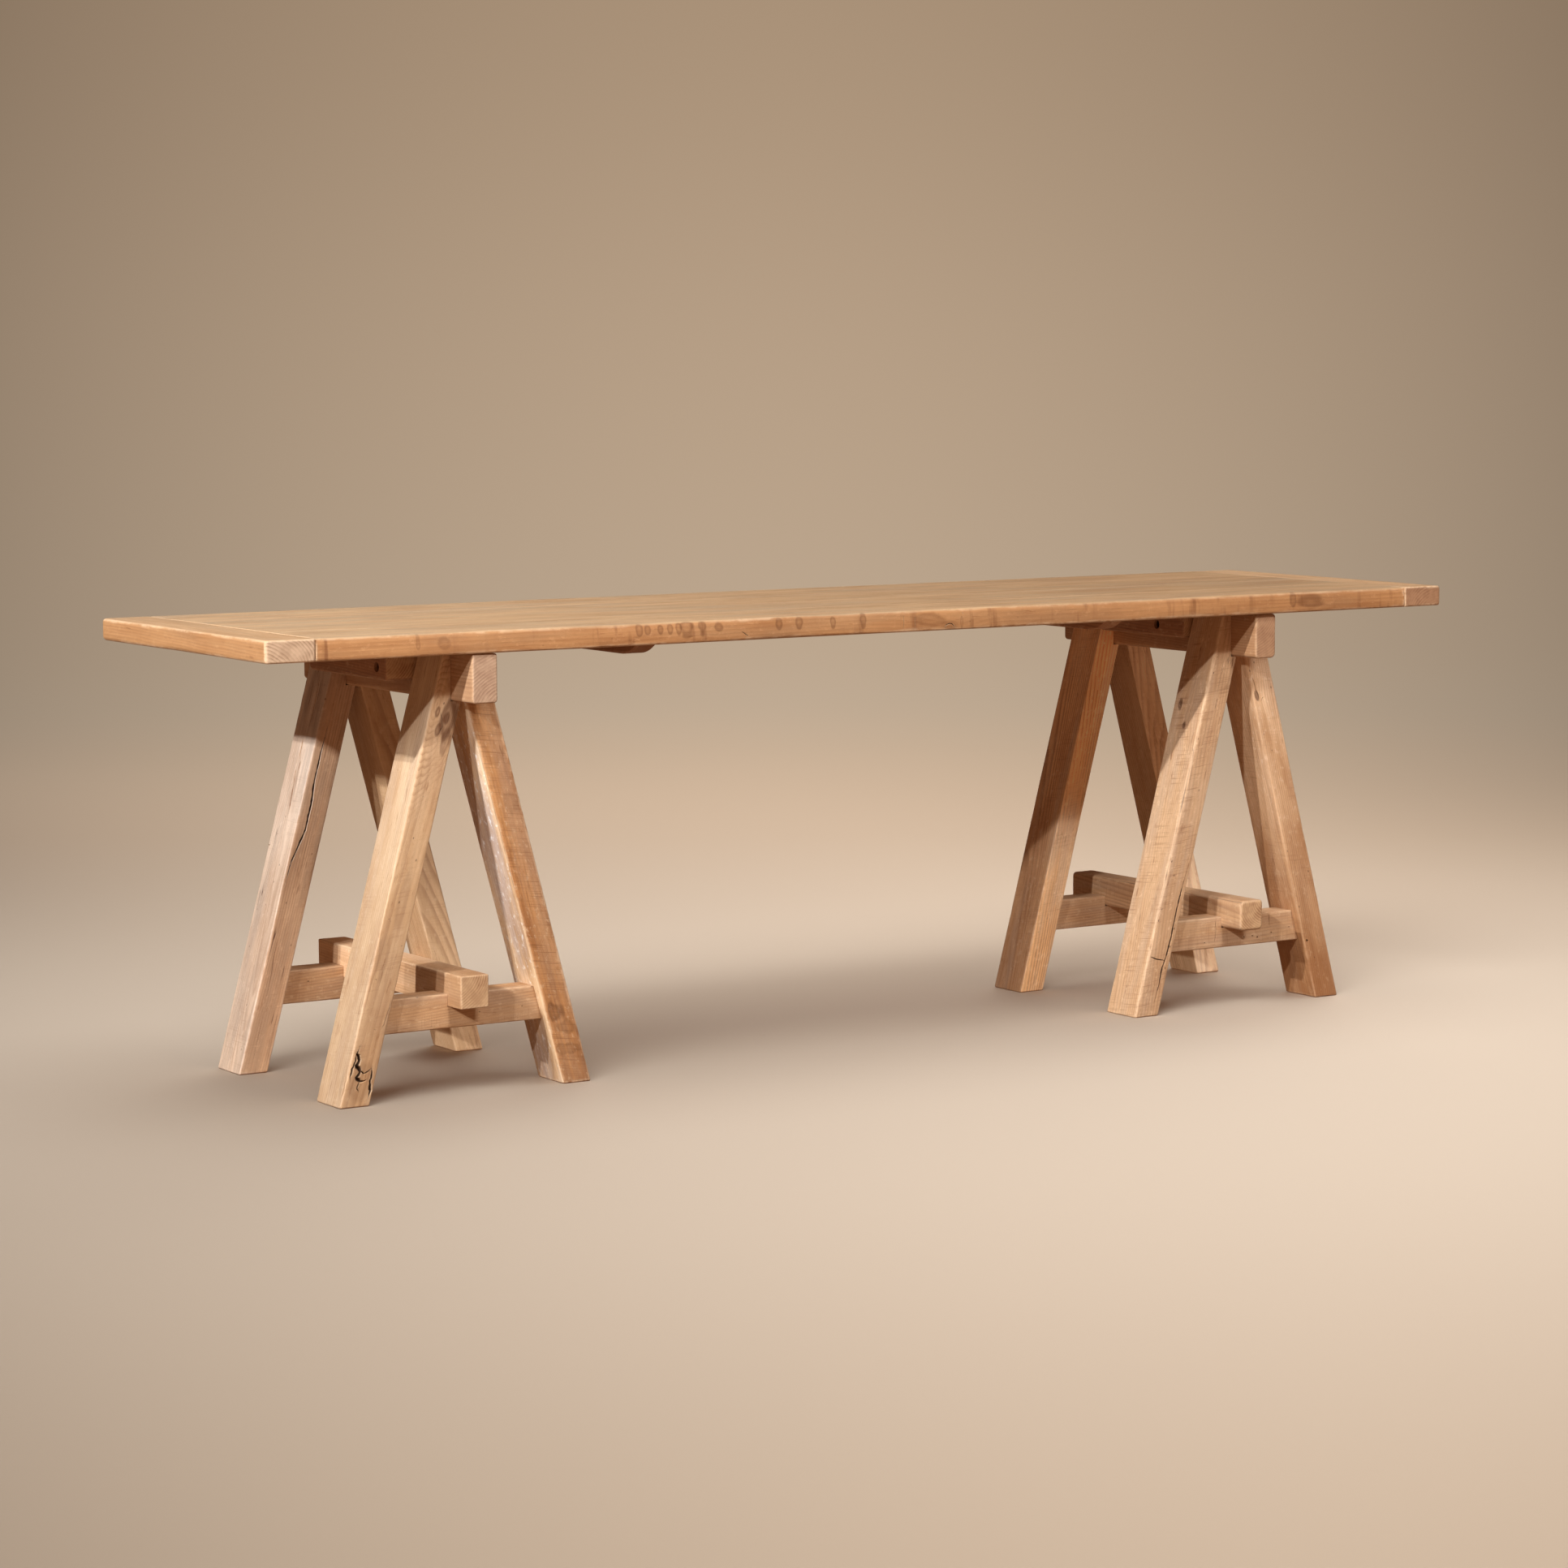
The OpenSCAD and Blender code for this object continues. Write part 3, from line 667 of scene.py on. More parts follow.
def rounded_plan(axis, sign, radius):
    """A bend that rounds both end corners on one side of a timber, across axis u or v."""
    def bend(local, timber):
        half = timber.size[axis] / 2
        a = sign * local[:, axis] - (half - radius)
        for flip in (False, True):
            s = timber.size[2] - local[:, 2] if flip else local[:, 2]
            moved_a, moved_b = corner_round(a, radius - s, radius)
            local[:, axis] = sign * (moved_a + half - radius)
            s = radius - moved_b
            local[:, 2] = timber.size[2] - s if flip else s
        return local
    return bend


# ---- Table top ----

plank_names = ["plank_front", "plank_mid_front", "plank_mid_back", "plank_back"]
left_board, right_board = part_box("breadboard_left"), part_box("breadboard_right")
top_z, under_z = left_board[1].z, left_board[0].z
mid_z, top_t = (top_z + under_z) / 2, top_z - under_z
plank_x0, plank_x1 = left_board[1].x, right_board[0].x
X_ALONG = ((0, 1, 0), (0, 0, 1), (1, 0, 0))
Y_ALONG = ((1, 0, 0), (0, 0, 1), (0, 1, 0))


def y_timber(name, body, slot, inset=0.0, **shape):
    """Timber that runs along Y and fills its CAD node's box, less the inset at both ends."""
    low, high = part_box(name)
    size = (high.x - low.x, high.z - low.z, high.y - low.y - 2 * inset)
    origin = ((low.x + high.x) / 2, low.y + inset, (low.z + high.z) / 2)
    return Timber(name, size, origin, Y_ALONG, body, slot, **shape)


def waney_front(local, timber):
    """The front edge of the top is worn in long shallow waves, most of all along its upper arris."""
    s, v = local[:, 2], local[:, 1]
    near = np.clip(1 - (local[:, 0] + timber.size[0] / 2) / 0.05, 0, 1)
    wave = 0.5 + 0.5 * along(s * 5.2, 501) + 0.35 * along(s * 13, 502)
    hollow = np.clip(along(s * 3.1, 503) - 0.1, 0, 1)
    high = smooth(v, -0.004, timber.size[1] / 2)
    local[:, 0] += near * (0.0012 * wave + high * (0.0035 * np.clip(wave, 0, 2) + 0.005 * hollow))
    local[:, 1] -= near ** 2 * high * (0.0016 * np.clip(wave, 0, 2) + 0.0035 * hollow)
    return local


def make_top():
    pith = [(0.03, -0.19), (-0.06, -0.12), (0.05, -0.16), (0.0, 0.13)]
    for i, name in enumerate(plank_names):
        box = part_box(name)
        y0, y1 = box[0].y, box[1].y
        outer, joint = 0.0055, 0.0009
        radii = [joint] * 4
        if i == 0:
            radii = [0.0045, joint, joint, 0.0068]
        if i == 3:
            radii = [joint, 0.0045, outer, joint]
        timber = Timber(name, (y1 - y0, top_t, plank_x1 - plank_x0), (plank_x0, (y0 + y1) / 2, mid_z),
            X_ALONG, "table_top", "top_planks", radii=radii, end=0.0012, seed=11 + i, gap=0.011,
            dents=0.0004, chips=0.0016 if i in (0, 3) else 0.0006, bend=waney_front if i == 0 else None)
        # run paints light on the top: lighter at its left end, darker at its right
        look = dict(TOP, pith=pith[i], drift=(0.012 * (-1) ** i, 0.02), wobble=0.008,
            run=((1.12, 1.16, 1.2), (0.86, 0.84, 0.82)))
        if i == 0:
            half = -(y1 - y0) / 2 * 1000
            start = -plank_x0 * 1000
            knot_s = start + 92
            ring_spots = [(-535, 7, 13), (-519, 6, 9), (-494, 6, 8), (-475, 6, 9), (-458, 6, 11),
                (-442, 13, 17), (-412, 9, 14), (-380, 11, 10), (-260, 8, 12), (-219, 8, 14), (-150, 6, 14),
                (-88, 7, 16)]
            spots = [(half, 6, start + x, w, t, 0.45) for x, w, t in ring_spots]
            spots += [(half, 0, start + 905, 42, 17, 0.5), (half, 4, start + 862, 9, 19, 0.45),
                (half, 0, start - 900, 16, 18, 0.3), (half, 4, start - 948, 5, 18, 0.3)]
            spots += [(half, 2, knot_s - 42, 34, 17, 0.3), (half, -6, knot_s + 26, 3, 15, 0.3)]
            # Painted light and shade: run makes the plank lighter at its left end, and its front face is
            # given painted shade
            look.update(band=0.55, deep=0.009, knots=[(half, -14, knot_s, 20)], core=0.25,
                arcs=[(half, -14, knot_s, 3.4, 34, 0.75, 0.75)], spots=spots,
                run=((1.12, 1.16, 1.2), (0.94, 0.93, 0.92)), weather=0.4, wear=0.55,
                faces=[((0, -1, 0), (0.87, 0.66, 0.49))])
            # Half-round crack round the knot in the lower edge, and the checks beside it
            arc = [(-19, knot_s - 12), (-11, knot_s - 9), (-7, knot_s - 2), (-8, knot_s + 6),
                (-13, knot_s + 11), (-19, knot_s + 13)]
            timber.crack("-u", arc, width=0.0026, depth=0.005, wander=0.0004)
            timber.crack("-u", [(14, knot_s - 72), (2, knot_s - 73), (-15, knot_s - 72)], 0.0014, 0.003)
            timber.crack("-u", [(17, start - 5), (4, start - 4), (-16, start - 5)], 0.0011, 0.004)
            timber.crack("-u", [(-2, start - 336), (-8, start - 328), (-12, start - 319)], width=0.0022,
                depth=0.004, wander=0.0008)
            timber.crack("-u", [(15, start + 117), (9, start + 121), (6, start + 120)], 0.004, 0.003)
        if i == 1:
            timber.crack("+v", [(-70, 640), (-66, 760), (-58, 860)], width=0.0016, depth=0.003,
                wander=0.0006)
        if i == 2:
            timber.crack("+v", [(20, 1500), (26, 1640), (30, 1725)], width=0.0013, depth=0.003,
                wander=0.0006)
        timber.finish(look)
    for side in ("left", "right"):
        outer, inner = (0.0062, 0.0022)
        radii = [outer, inner, inner, outer] if side == "left" else [inner, outer, outer, inner]
        timber = y_timber("breadboard_" + side, "table_top", "breadboards", radii=radii, end=0.0035,
            seed=21 + (side == "right"), gap=0.007, dents=0.0007, chips=0.0018,
            bend=rounded_plan(0, -1 if side == "left" else 1, 0.008))
        # Faces turned to the left get painted shade
        timber.finish(dict(TOP, light=tone(212, 178, 140), dark=tone(182, 142, 102), weather=0.25,
            pith=(-0.05 if side == "left" else 0.04, -0.05), drift=(0.03, 0.02), ring=0.005, wear=0.6,
            blotch=0.45, speck=0.6, deep=0.004, faces=[((-1, 0, 0), (0.8, 0.66, 0.53))],
            end_light=tone(216, 188, 160) if side == "left" else tone(178, 138, 106),
            end_dark=tone(158, 126, 100) if side == "left" else tone(134, 96, 70)))


def batten_bend(local, timber):
    """Sweeps the lower face of a batten up to the planks at both ends."""
    depth, length = timber.size[1:]
    arc = (BATTEN_RUN ** 2 + depth ** 2) / (2 * depth)
    past = np.clip(np.maximum(BATTEN_RUN - local[:, 2], BATTEN_RUN - (length - local[:, 2])), 0, None)
    thick = depth - arc + np.sqrt(np.clip(arc ** 2 - past ** 2, 0, None))
    thick = np.maximum(thick, 0.0015)
    local[:, 1] = depth / 2 - (depth / 2 - local[:, 1]) * thick / depth
    return local


def screw_holes(timber, node):
    """Sinks a recess for every screw of a CAD node that this timber holds."""
    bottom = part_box(timber.name)[0].z
    mesh = frame["nodes"][node].data
    points = np.array([v.co for v in mesh.vertices])
    low, high = timber.place([0, 0, 0]), timber.place([0, 0, timber.size[2]])
    heads = points[points[:, 2] < points[:, 2].min() + 0.0005]
    done = []
    for point in heads:
        if all(np.linalg.norm(point[:2] - d[:2]) > 0.02 for d in done):
            near = heads[np.linalg.norm(heads[:, :2] - point[:2], axis=1) < 0.012]
            done.append((near.max(0) + near.min(0)) / 2)
    half = timber.size[0] / 2 if abs(timber.axes[0][0]) > 0.5 else timber.size[1] / 2
    for centre in done:
        x_ok = abs(centre[0] - timber.place([0, 0, timber.size[2] / 2])[0]) < max(half, 0.01)
        y_ok = min(low[1], high[1]) - 1e-6 < centre[1] < max(low[1], high[1]) + 1e-6
        if x_ok and y_ok:
            timber.drill((centre[0], centre[1], bottom - 0.002), (0, 0, 0.0072), SCREW_RECESS)


def make_under_top():
    for k, name in enumerate(("batten_left", "batten_right")):
        timber = y_timber(name, "table_top", "battens", inset=0.0015, radii=(0.0025, 0.0025, 0.0008,
            0.0008), end=0.0006, seed=31 + k, gap=0.006, dents=0.0004, step=0.006, bend=batten_bend)
        screw_holes(timber, "batten_screws")
        timber.finish(dict(DULL, pith=(0.03, -0.05), deep=0.03))
    for k, name in enumerate(("cleat_left_outer", "cleat_left_inner", "cleat_right_inner",
            "cleat_right_outer")):
        timber = y_timber(name, "table_top", "cleats", radii=(0.003, 0.003, 0.0008, 0.0008), end=0.002,
            seed=41 + k, gap=0.0035, dents=0.0004, step=0.006, bend=rounded_plan(1, -1, 0.012))
        screw_holes(timber, "cleat_screws")
        lock_hole(timber, "left" if "left" in name else "right")
        timber.finish(dict(DULL, pith=(-0.05, 0.02), deep=0.006))


def lock_hole(timber, horse):
    """The peg hole that the record states for this sawhorse."""
    for mount in frame["record"]["mounts"]:
        if mount["name"] == "lock_hole_" + horse:
            x, y, z = mount["pos_m"]
            out = -mount["axis"][0]
            span = mount["dims"]["length_mm"] / 1000
            timber.drill((x - out * 0.01, y, z), (out * (span + 0.02), 0, 0), mount["dims"]["r_mm"] / 1000,
                sides=40, ragged=0.02)


# ---- Sawhorses ----

def leg_timber(horse, y_side, x_side, slot, seed, radii=(0.003,) * 4):
    """Leg whose u axis points outwards from the sawhorse's middle."""
    name = f"{horse}_leg_{y_side}_{x_side}"
    low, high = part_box(name)
    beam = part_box(horse + "_beam")
    middle = (beam[0].x + beam[1].x) / 2
    out = -1 if x_side == "left" else 1
    foot = max(abs(low.x - middle), abs(high.x - middle))
    origin = (middle + out * (foot - LEG_WIDTH / 2), (low.y + high.y) / 2, 0)
    axes = ((out, 0, 0), (0, 1, 0), (-out * LEAN / LEG_STRETCH, 0, 1 / LEG_STRETCH))
    timber = Timber(name, (LEG_WIDTH, high.y - low.y, high.z * LEG_STRETCH), origin, axes,
        "sawhorse_" + horse, slot, radii=radii, end=0.003, seed=seed, step=0.008, chips=0.002)
    inner = middle + out * BEAM_WIDTH / 2
    reach = (min(inner, middle - out * 0.2), max(inner, middle - out * 0.2))
    timber.box_cut((reach[0], low.y - 0.05, beam[0].z), (reach[1], high.y + 0.05, high.z + 0.05))
    return timber


def make_beam(horse, seed, radii):
    timber = y_timber(horse + "_beam", "sawhorse_" + horse, "beams", radii=radii, end=0.003, seed=seed,
        gap=0.007, dents=0.0005, chips=0.0012)
    lock_hole(timber, horse)
    return timber


def make_stretcher(horse, seed, radii, end):
    return y_timber(horse + "_stretcher", "sawhorse_" + horse, "stretchers", radii=radii, end=end,
        seed=seed, gap=0.007, dents=0.0004)


def make_rail(horse, y_side, seed):
    """Rail whose ends follow the legs' lean and reach a little into them."""
    name = f"{horse}_rail_{y_side}"
    low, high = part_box(name)
    beam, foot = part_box(horse + "_beam"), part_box(f"{horse}_leg_front_left")
    middle = (beam[0].x + beam[1].x) / 2
    spread = middle - foot[0].x - LEG_WIDTH + RAIL_REACH
    half = spread - LEAN * low.z

    def follow(local, timber):
        half_here = spread - LEAN * timber.place(local)[:, 2]
        centre = timber.size[2] / 2
        local[:, 2] = centre + (local[:, 2] - centre) * half_here / half
        return local

    timber = Timber(name, (high.y - low.y, high.z - low.z, 2 * half), (middle - half, (low.y + high.y) / 2,
        (low.z + high.z) / 2), X_ALONG, "sawhorse_" + horse, "rails", radii=0.003, end=0.001, seed=seed,
        gap=0.007, dents=0.0005, bend=follow)
    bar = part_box(horse + "_stretcher")
    timber.box_cut((bar[0].x, low.y - 0.05, bar[0].z), (bar[1].x, high.y + 0.05, high.z + 0.05))
    screw_holes(timber, horse + "_stretcher_screws")
    return timber


def make_left_horse():
    leg = leg_timber("left", "front", "left", "legs_honey", 51, (0.003, 0.0042, 0.003, 0.003))
    for across, up in ((12, 312), (15, 316), (14, 215), (-5, 130), (-20, 268), (3, 520)):
        leg.pit("-v", across, up, 0.9, 3)
    for across, up in ((35, 424), (14, 88), (-12, 250), (20, 560)):
        leg.pit("+u", across, up, 0.9, 3)
    leg.crack("-v", [(14, 108), (17, 92), (10, 82), (13, 70), (4, 62), (9, 52), (1, 45), (-8, 44),
        (-15, 50)], width=0.0078, depth=0.009, wander=0.0026)
    leg.crack("-v", [(5, 64), (-3, 58), (-11, 60), (-16, 66)], width=0.0046, depth=0.006, wander=0.0018)
    leg.crack("-v", [(-14, 70), (-19, 56), (-18, 42), (-22, 26), (-21, 8)], width=0.0056, depth=0.008,
        wander=0.002)
    leg.crack("-v", [(20, 98), (17, 80), (21, 62), (19, 44)], width=0.0046, depth=0.006, wander=0.002,
        seed=9)
    leg.crack("-v", [(2, 46), (4, 34), (-2, 24)], width=0.003, depth=0.005, wander=0.002, seed=4)
    leg.crack("-v", [(-24, 184), (-23, 168), (-20, 140), (-14, 118)], width=0.0016, depth=0.005)
    leg.crack("+u", [(-35, 70), (-40, 52), (-41, 30), (-38, 12)], width=0.0022, depth=0.006)
    leg.crack("-v", [(10, 668), (2, 652), (-3, 636), (4, 620)], width=0.0014, depth=0.003)
    # Painted light: the left face is made paler, and run shades the leg towards its foot and lightens its
    # top
    leg.finish(dict(HONEY, pith=(0.06, -0.14), drift=(-0.02, 0.012), ring=0.0058, contrast=0.3, saw=0.15,
        saw_tilt=0.1, speck=0.7, weather=0.2, fleck=0.6, knots=[(-6, -43, 650, 13)],
        arcs=[(16, -43, 676, 4.6, 112, 0.4, 0.5)], run=((0.84, 0.8, 0.76), (1.08, 1.08, 1.08)),
        faces=[((-1, 0, 0), (1.0, 1.1, 1.25))], spots=[(-10, -43, 648, 40, 20, 0.7),
        (4, -43, 632, 14, 7, 0.6), (-16, -43, 612, 26, 12, 0.45), (12, -43, 662, 12, 5, 0.6),
        (-4, -43, 340, 60, 14, 0.16), (8, -43, 250, 50, 12, 0.14), (0, -43, 40, 34, 30, 0.22)]))
    leg = leg_timber("left", "front", "right", "legs_brown", 52, (0.0062, 0.003, 0.003, 0.003))
    # Painted light: the inner face turned to the left is made much paler, and run shades the leg towards
    # its foot and lightens its top
    leg.finish(dict(BROWN, pith=(0.12, 0.13), drift=(0.02, -0.01), saw=0.42, saw_tilt=0.12, saw_cover=0.3,
        contrast=0.2, wear=0.7, weather=0.3, blotch=0.9, mottle=0.5, saw_face=(0, -1, 0),
        run=((0.84, 0.8, 0.74), (1.06, 1.1, 1.14)), faces=[((-0.965, 0, -0.262), (1.55, 2.3, 3.7))],
        spots=[(-12, -43, 700, 12, 5, 0.5), (0, -43, 590, 30, 30, 0.2), (10, -43, 500, 26, 20, 0.2),
        (-8, -43, 128, 20, 16, 0.5), (6, -43, 100, 14, 24, 0.3), (0, -43, 62, 12, 30, 0.3)]))
    leg = leg_timber("left", "back", "left", "legs_pale", 53, (0.003, 0.0035, 0.003, 0.003))
    leg.crack("-v", [(9, 620), (11, 560), (11, 514), (7, 470), (7, 426), (14, 396), (20, 373), (22, 336),
        (24, 316)], width=0.0042, depth=0.012, wander=0.0006)
    for path, wide in (([(3, 585), (2, 556), (-1, 548)], 3.0), ([(-7, 545), (-6, 528)], 2.2),
            ([(4, 530), (2, 505)], 2.0), ([(-1, 500), (-3, 470), (-8, 455)], 3.0),
            ([(-6, 700), (-10, 640), (-8, 600)], 2.6), ([(6, 735), (4, 690)], 2.4),
            ([(-14, 690), (-16, 650)], 1.6), ([(14, 690), (12, 655), (13, 628)], 1.6)):
        leg.crack("+u", path, width=wide / 1000, depth=0.006, wander=0.001)
    leg.pit("+u", 39, 393, 2.2, 2)
    # Painted shade on the front face, and run shades the leg towards its foot and lightens its top
    leg.finish(dict(PALE, pith=(0.06, -0.03), drift=(-0.03, 0.03), speck=0.7,
        faces=[((0, -1, 0), (0.92, 0.76, 0.6))], run=((0.96, 0.92, 0.87), (1.1, 1.16, 1.22)),
        spots=[(27, 0, 655, 75, 34, 0.28), (27, -4, 500, 60, 8, 0.25)]))
    leg = leg_timber("left", "back", "right", "legs_honey", 54)
    leg.finish(dict(HONEY, pith=(-0.03, 0.07), drift=(0.01, 0.04)))
    make_beam("left", 55, (0.0065, 0.0065, 0.0055, 0.0055)).finish(dict(BEAM, pith=(0.06, -0.09),
        ring=0.005))
    # run paints light on the stretcher towards its back end, which lies in shadow
    make_stretcher("left", 56, 0.0026, 0.0024).finish(dict(RAIL, pith=(-0.05, 0.04),
        run=((0.95, 0.95, 0.95), (1.7, 1.9, 2.2))))
    for k, side in enumerate(("front", "back")):
        rail = make_rail("left", side, 57 + k)
        rail.finish(dict(RAIL, pith=(0.02, 0.08), weather=0.3))


def make_right_horse():
    leg = leg_timber("right", "front", "left", "legs_honey", 61, (0.003, 0.0055, 0.003, 0.003))
    leg.crack("-v", [(-20, 300), (-18, 251), (-16, 202), (-17, 150), (-16, 116), (-12, 92), (-13, 60),
        (-9, 5)], width=0.0046, depth=0.014, wander=0.0006)
    leg.crack("-v", [(24, 116), (10, 110), (-16, 104)], width=0.0026, depth=0.006, wander=0.001)
    leg.pit("-v", -19, 90, 1.6, 3, 1.8)
    leg.pit("-v", -3, 596, 1.6, 2, 2.2)
    leg.pit("+u", 25, 586, 4.5, 2, 1.2)
    leg.pit("+u", 2, 548, 3.0, 2, 1.3)
    for across, up in ((30, 490), (22, 470), (21, 450), (-10, 400), (5, 150)):
        leg.pit("+u", across, up, 0.9, 2)
    leg.finish(dict(PALE, light=tone(215, 180, 143), dark=tone(181, 140, 104), late=tone(150, 108, 76),
        fleck=0.9, mottle=0.45, grey=tone(196, 172, 150), pale=tone(240, 212, 176), weather=0.5, saw=0.5,
        saw_tilt=0.12, deep=0.0015, wear=0.45, check=0.5, knots=[(27, 25, 586, 13), (27, 2, 548, 10)],
        pith=(0.08, 0.05), speck=0.8))
    leg = leg_timber("right", "front", "right", "legs_brown", 62, (0.004, 0.003, 0.003, 0.003))
    leg.crack("-v", [(-21, 640), (-18, 622), (-15, 606), (-13, 590)], width=0.002, depth=0.005)
    leg.crack("-v", [(-12, 588), (-6, 594), (0, 598)], width=0.0018, depth=0.004)
    for across, up in ((-16, 478), (-15, 250), (-13, 243), (-12, 262)):
        leg.pit("-v", across, up, 1.1, 2)
    leg.pit("-v", -18.6, 114.5, 3.0, 4)
    # run shades the leg towards its foot and paints light on its top
    leg.finish(dict(HONEY, light=tone(212, 172, 130), dark=tone(168, 120, 78), saw=0.3, blotch=0.7,
        pith=(-0.05, -0.04), drift=(0.03, 0.01), speck=0.7, wear=0.2, run=((0.78, 0.68, 0.6),
        (1.45, 1.68, 2.0)), knots=[(-18, -43, 600, 10)]))
    leg = leg_timber("right", "back", "left", "legs_brown", 63)
    leg.pit("+u", -16, 206, 1.6, 3, 2.0)
    # Painted light on the front face, and run shades the leg towards its foot and paints light on its top,
    # which lies in the table's shadow
    leg.finish(dict(BROWN, light=tone(212, 166, 122), dark=tone(166, 118, 82), weather=0.4, saw=0.2,
        faces=[((0, -1, 0), (1.6, 1.7, 1.65))], run=((0.76, 0.74, 0.74), (1.5, 1.65, 1.8)),
        pith=(0.07, 0.02), contrast=0.6))
    leg = leg_timber("right", "back", "right", "legs_honey", 64)
    # Painted light on the front face
    leg.finish(dict(HONEY, pith=(0.03, 0.06), faces=[((0, -1, 0), (1.6, 1.75, 2.0))]))
    make_beam("right", 65, (0.008, 0.008, 0.007, 0.007)).finish(dict(BEAM, pith=(-0.05, 0.06),
        light=tone(192, 150, 112), end_light=tone(184, 146, 114), end_dark=tone(146, 106, 80)))
    bright = dict(RAIL, light=tone(212, 174, 134), dark=tone(176, 134, 98), weather=0.35, saw=0.3)
    make_stretcher("right", 66, 0.0075, 0.005).finish(dict(bright, pith=(0.05, 0.04)))
    for k, side in enumerate(("front", "back")):
        rail = make_rail("right", side, 67 + k)
        if side == "front":
            middle = rail.size[2] / 2 * 1000
            for x, z in ((48, -13), (28, -13), (93, -10), (136, -3), (-66, -17), (60, -16)):
                rail.pit("-u", z, middle + x, 1.6, 4)
            rail.crack("-u", [(24, middle - 41), (0, middle - 40), (-18, middle - 43)], 0.0013, 0.004)
            rail.crack("-u", [(26, middle + 88), (8, middle + 87), (2, middle + 89)], 0.0012, 0.004)
        rail.finish(dict(bright, pith=(0.02, -0.07)))


# ---- Fasteners and hidden joinery keep their CAD shapes ----

def metal(name, base, spot, rough, metallic):
    g = Graph(name)
    place = g.add("ShaderNodeNewGeometry").outputs["Position"]
    patch = g.noise(place, (900, 900, 900), 3.0, 0.6)
    colour = g.mix(g.step(patch, 0.4, 0.65), base, spot)
    rough = g.step(patch, 0.2, 0.8, rough - 0.1, rough + 0.15)
    bump = g.fed("ShaderNodeBump", Distance=0.0002, Height=patch)
    return g.surface(g.fed("ShaderNodeBsdfPrincipled", Base_Color=colour, Roughness=rough,
        Metallic=metallic, Normal=bump))


def hardwood(name):
    g = Graph(name)
    place = g.add("ShaderNodeNewGeometry").outputs["Position"]
    streak = g.noise(place, (30, 600, 600), 3.0, 0.6)
    colour = g.mix(g.step(streak, 0.3, 0.7), tone(150, 106, 68), tone(112, 74, 44))
    rough = g.step(streak, 0.2, 0.8, 0.5, 0.7)
    return g.surface(g.fed("ShaderNodeBsdfPrincipled", Base_Color=colour, Roughness=rough))


def finish_cad_nodes():
    zinc = metal("dull_zinc", tone(150, 146, 140), tone(108, 98, 88), 0.42, 1.0)
    iron = metal("black_iron", tone(58, 50, 44), tone(86, 58, 40), 0.6, 0.7)
    inner = hardwood("joinery_wood")
    for name, obj in frame["nodes"].items():
        if "screws" in name:
            kind = zinc
        elif "nails" in name:
            kind = iron
        elif "splines" in name or "pegs" in name:
            kind = inner
        else:
            continue
        obj.data.materials.clear()
        obj.data.materials.append(kind)


# ---- Studio ----

YAW, PITCH, ROLL = math.radians(32.85), math.radians(-6.21), math.radians(-0.17)
CAMERA = Vector((-4.1105, -6.2910, 1.2636))
LENS = 96.7
FORWARD = Vector((math.sin(YAW), math.cos(YAW), 0))
ASIDE = Vector((math.cos(YAW), -math.sin(YAW), 0))


def studio_paint():
    """Pale sweep with painted light: brightest on the floor by the table, darker far behind and above,
    with painted shade towards the sides; far out it glows instead of being lit.
    """
    g = Graph("studio_sweep")
    place = g.add("ShaderNodeNewGeometry").outputs["Position"]
    from_eye = g.vector("SUBTRACT", place, (CAMERA.x, CAMERA.y, 0))
    ahead = g.vector("DOT_PRODUCT", from_eye, tuple(FORWARD))
    across = g.vector("DOT_PRODUCT", from_eye, tuple(ASIDE))
    height = g.vector("DOT_PRODUCT", place, (0, 0, 1))
    depth = g.scaled(height, 4.0, ahead)
    ramp = g.add("ShaderNodeValToRGB")
    ramp.color_ramp.interpolation = "B_SPLINE"
    ramp_length = 32.0
    g.plug(ramp.inputs[0], g.over(depth, ramp_length))
    stops = [(3.6, (188, 170, 149)), (5.0, (206, 190, 172)), (6.2, (221, 207, 190)),
        (7.6, (224, 211, 195)), (9.0, (212, 196, 178)), (10.4, (200, 181, 160)), (12.6, (193, 172, 149)),
        (17.0, (187, 165, 141)), (24.0, (183, 159, 134)), (30.5, (166, 142, 117))]
    elements = ramp.color_ramp.elements
    while len(elements) < len(stops):
        elements.new(0.5)
    for element, (at, colour) in zip(elements, stops):
        element.position = at / ramp_length
        element.color = tone(*colour)
    # Painted shade towards the sides, stronger high up
    aside = g.over(across, g.math("MAXIMUM", ahead, 1.0))
    low = g.step(depth, 12.0, 6.0)
    centre = g.times(low, 0.14)
    off = g.math("ABSOLUTE", g.minus(aside, centre))
    fade = g.times(g.math("POWER", g.over(off, 0.19), 1.7), g.step(low, 0.0, 1.0, 0.36, 0.13))
    shade = g.minus(1.0, g.math("MINIMUM", fade, 0.6))
    colour = g.mix(1.0, ramp.outputs[0], shade, "MULTIPLY")
    # Near the table the sweep is lit by the lamps; farther out it glows with the painted colour, though it
    # is no lamp
    lit = g.fed("ShaderNodeBsdfDiffuse", Color=colour)
    glow = g.fed("ShaderNodeEmission", Color=colour)
    away = g.step(g.vector("LENGTH", place), 3.0, 7.0)
    blend = g.fill(g.add("ShaderNodeMixShader"), away, lit, glow)
    return g.surface(blend)


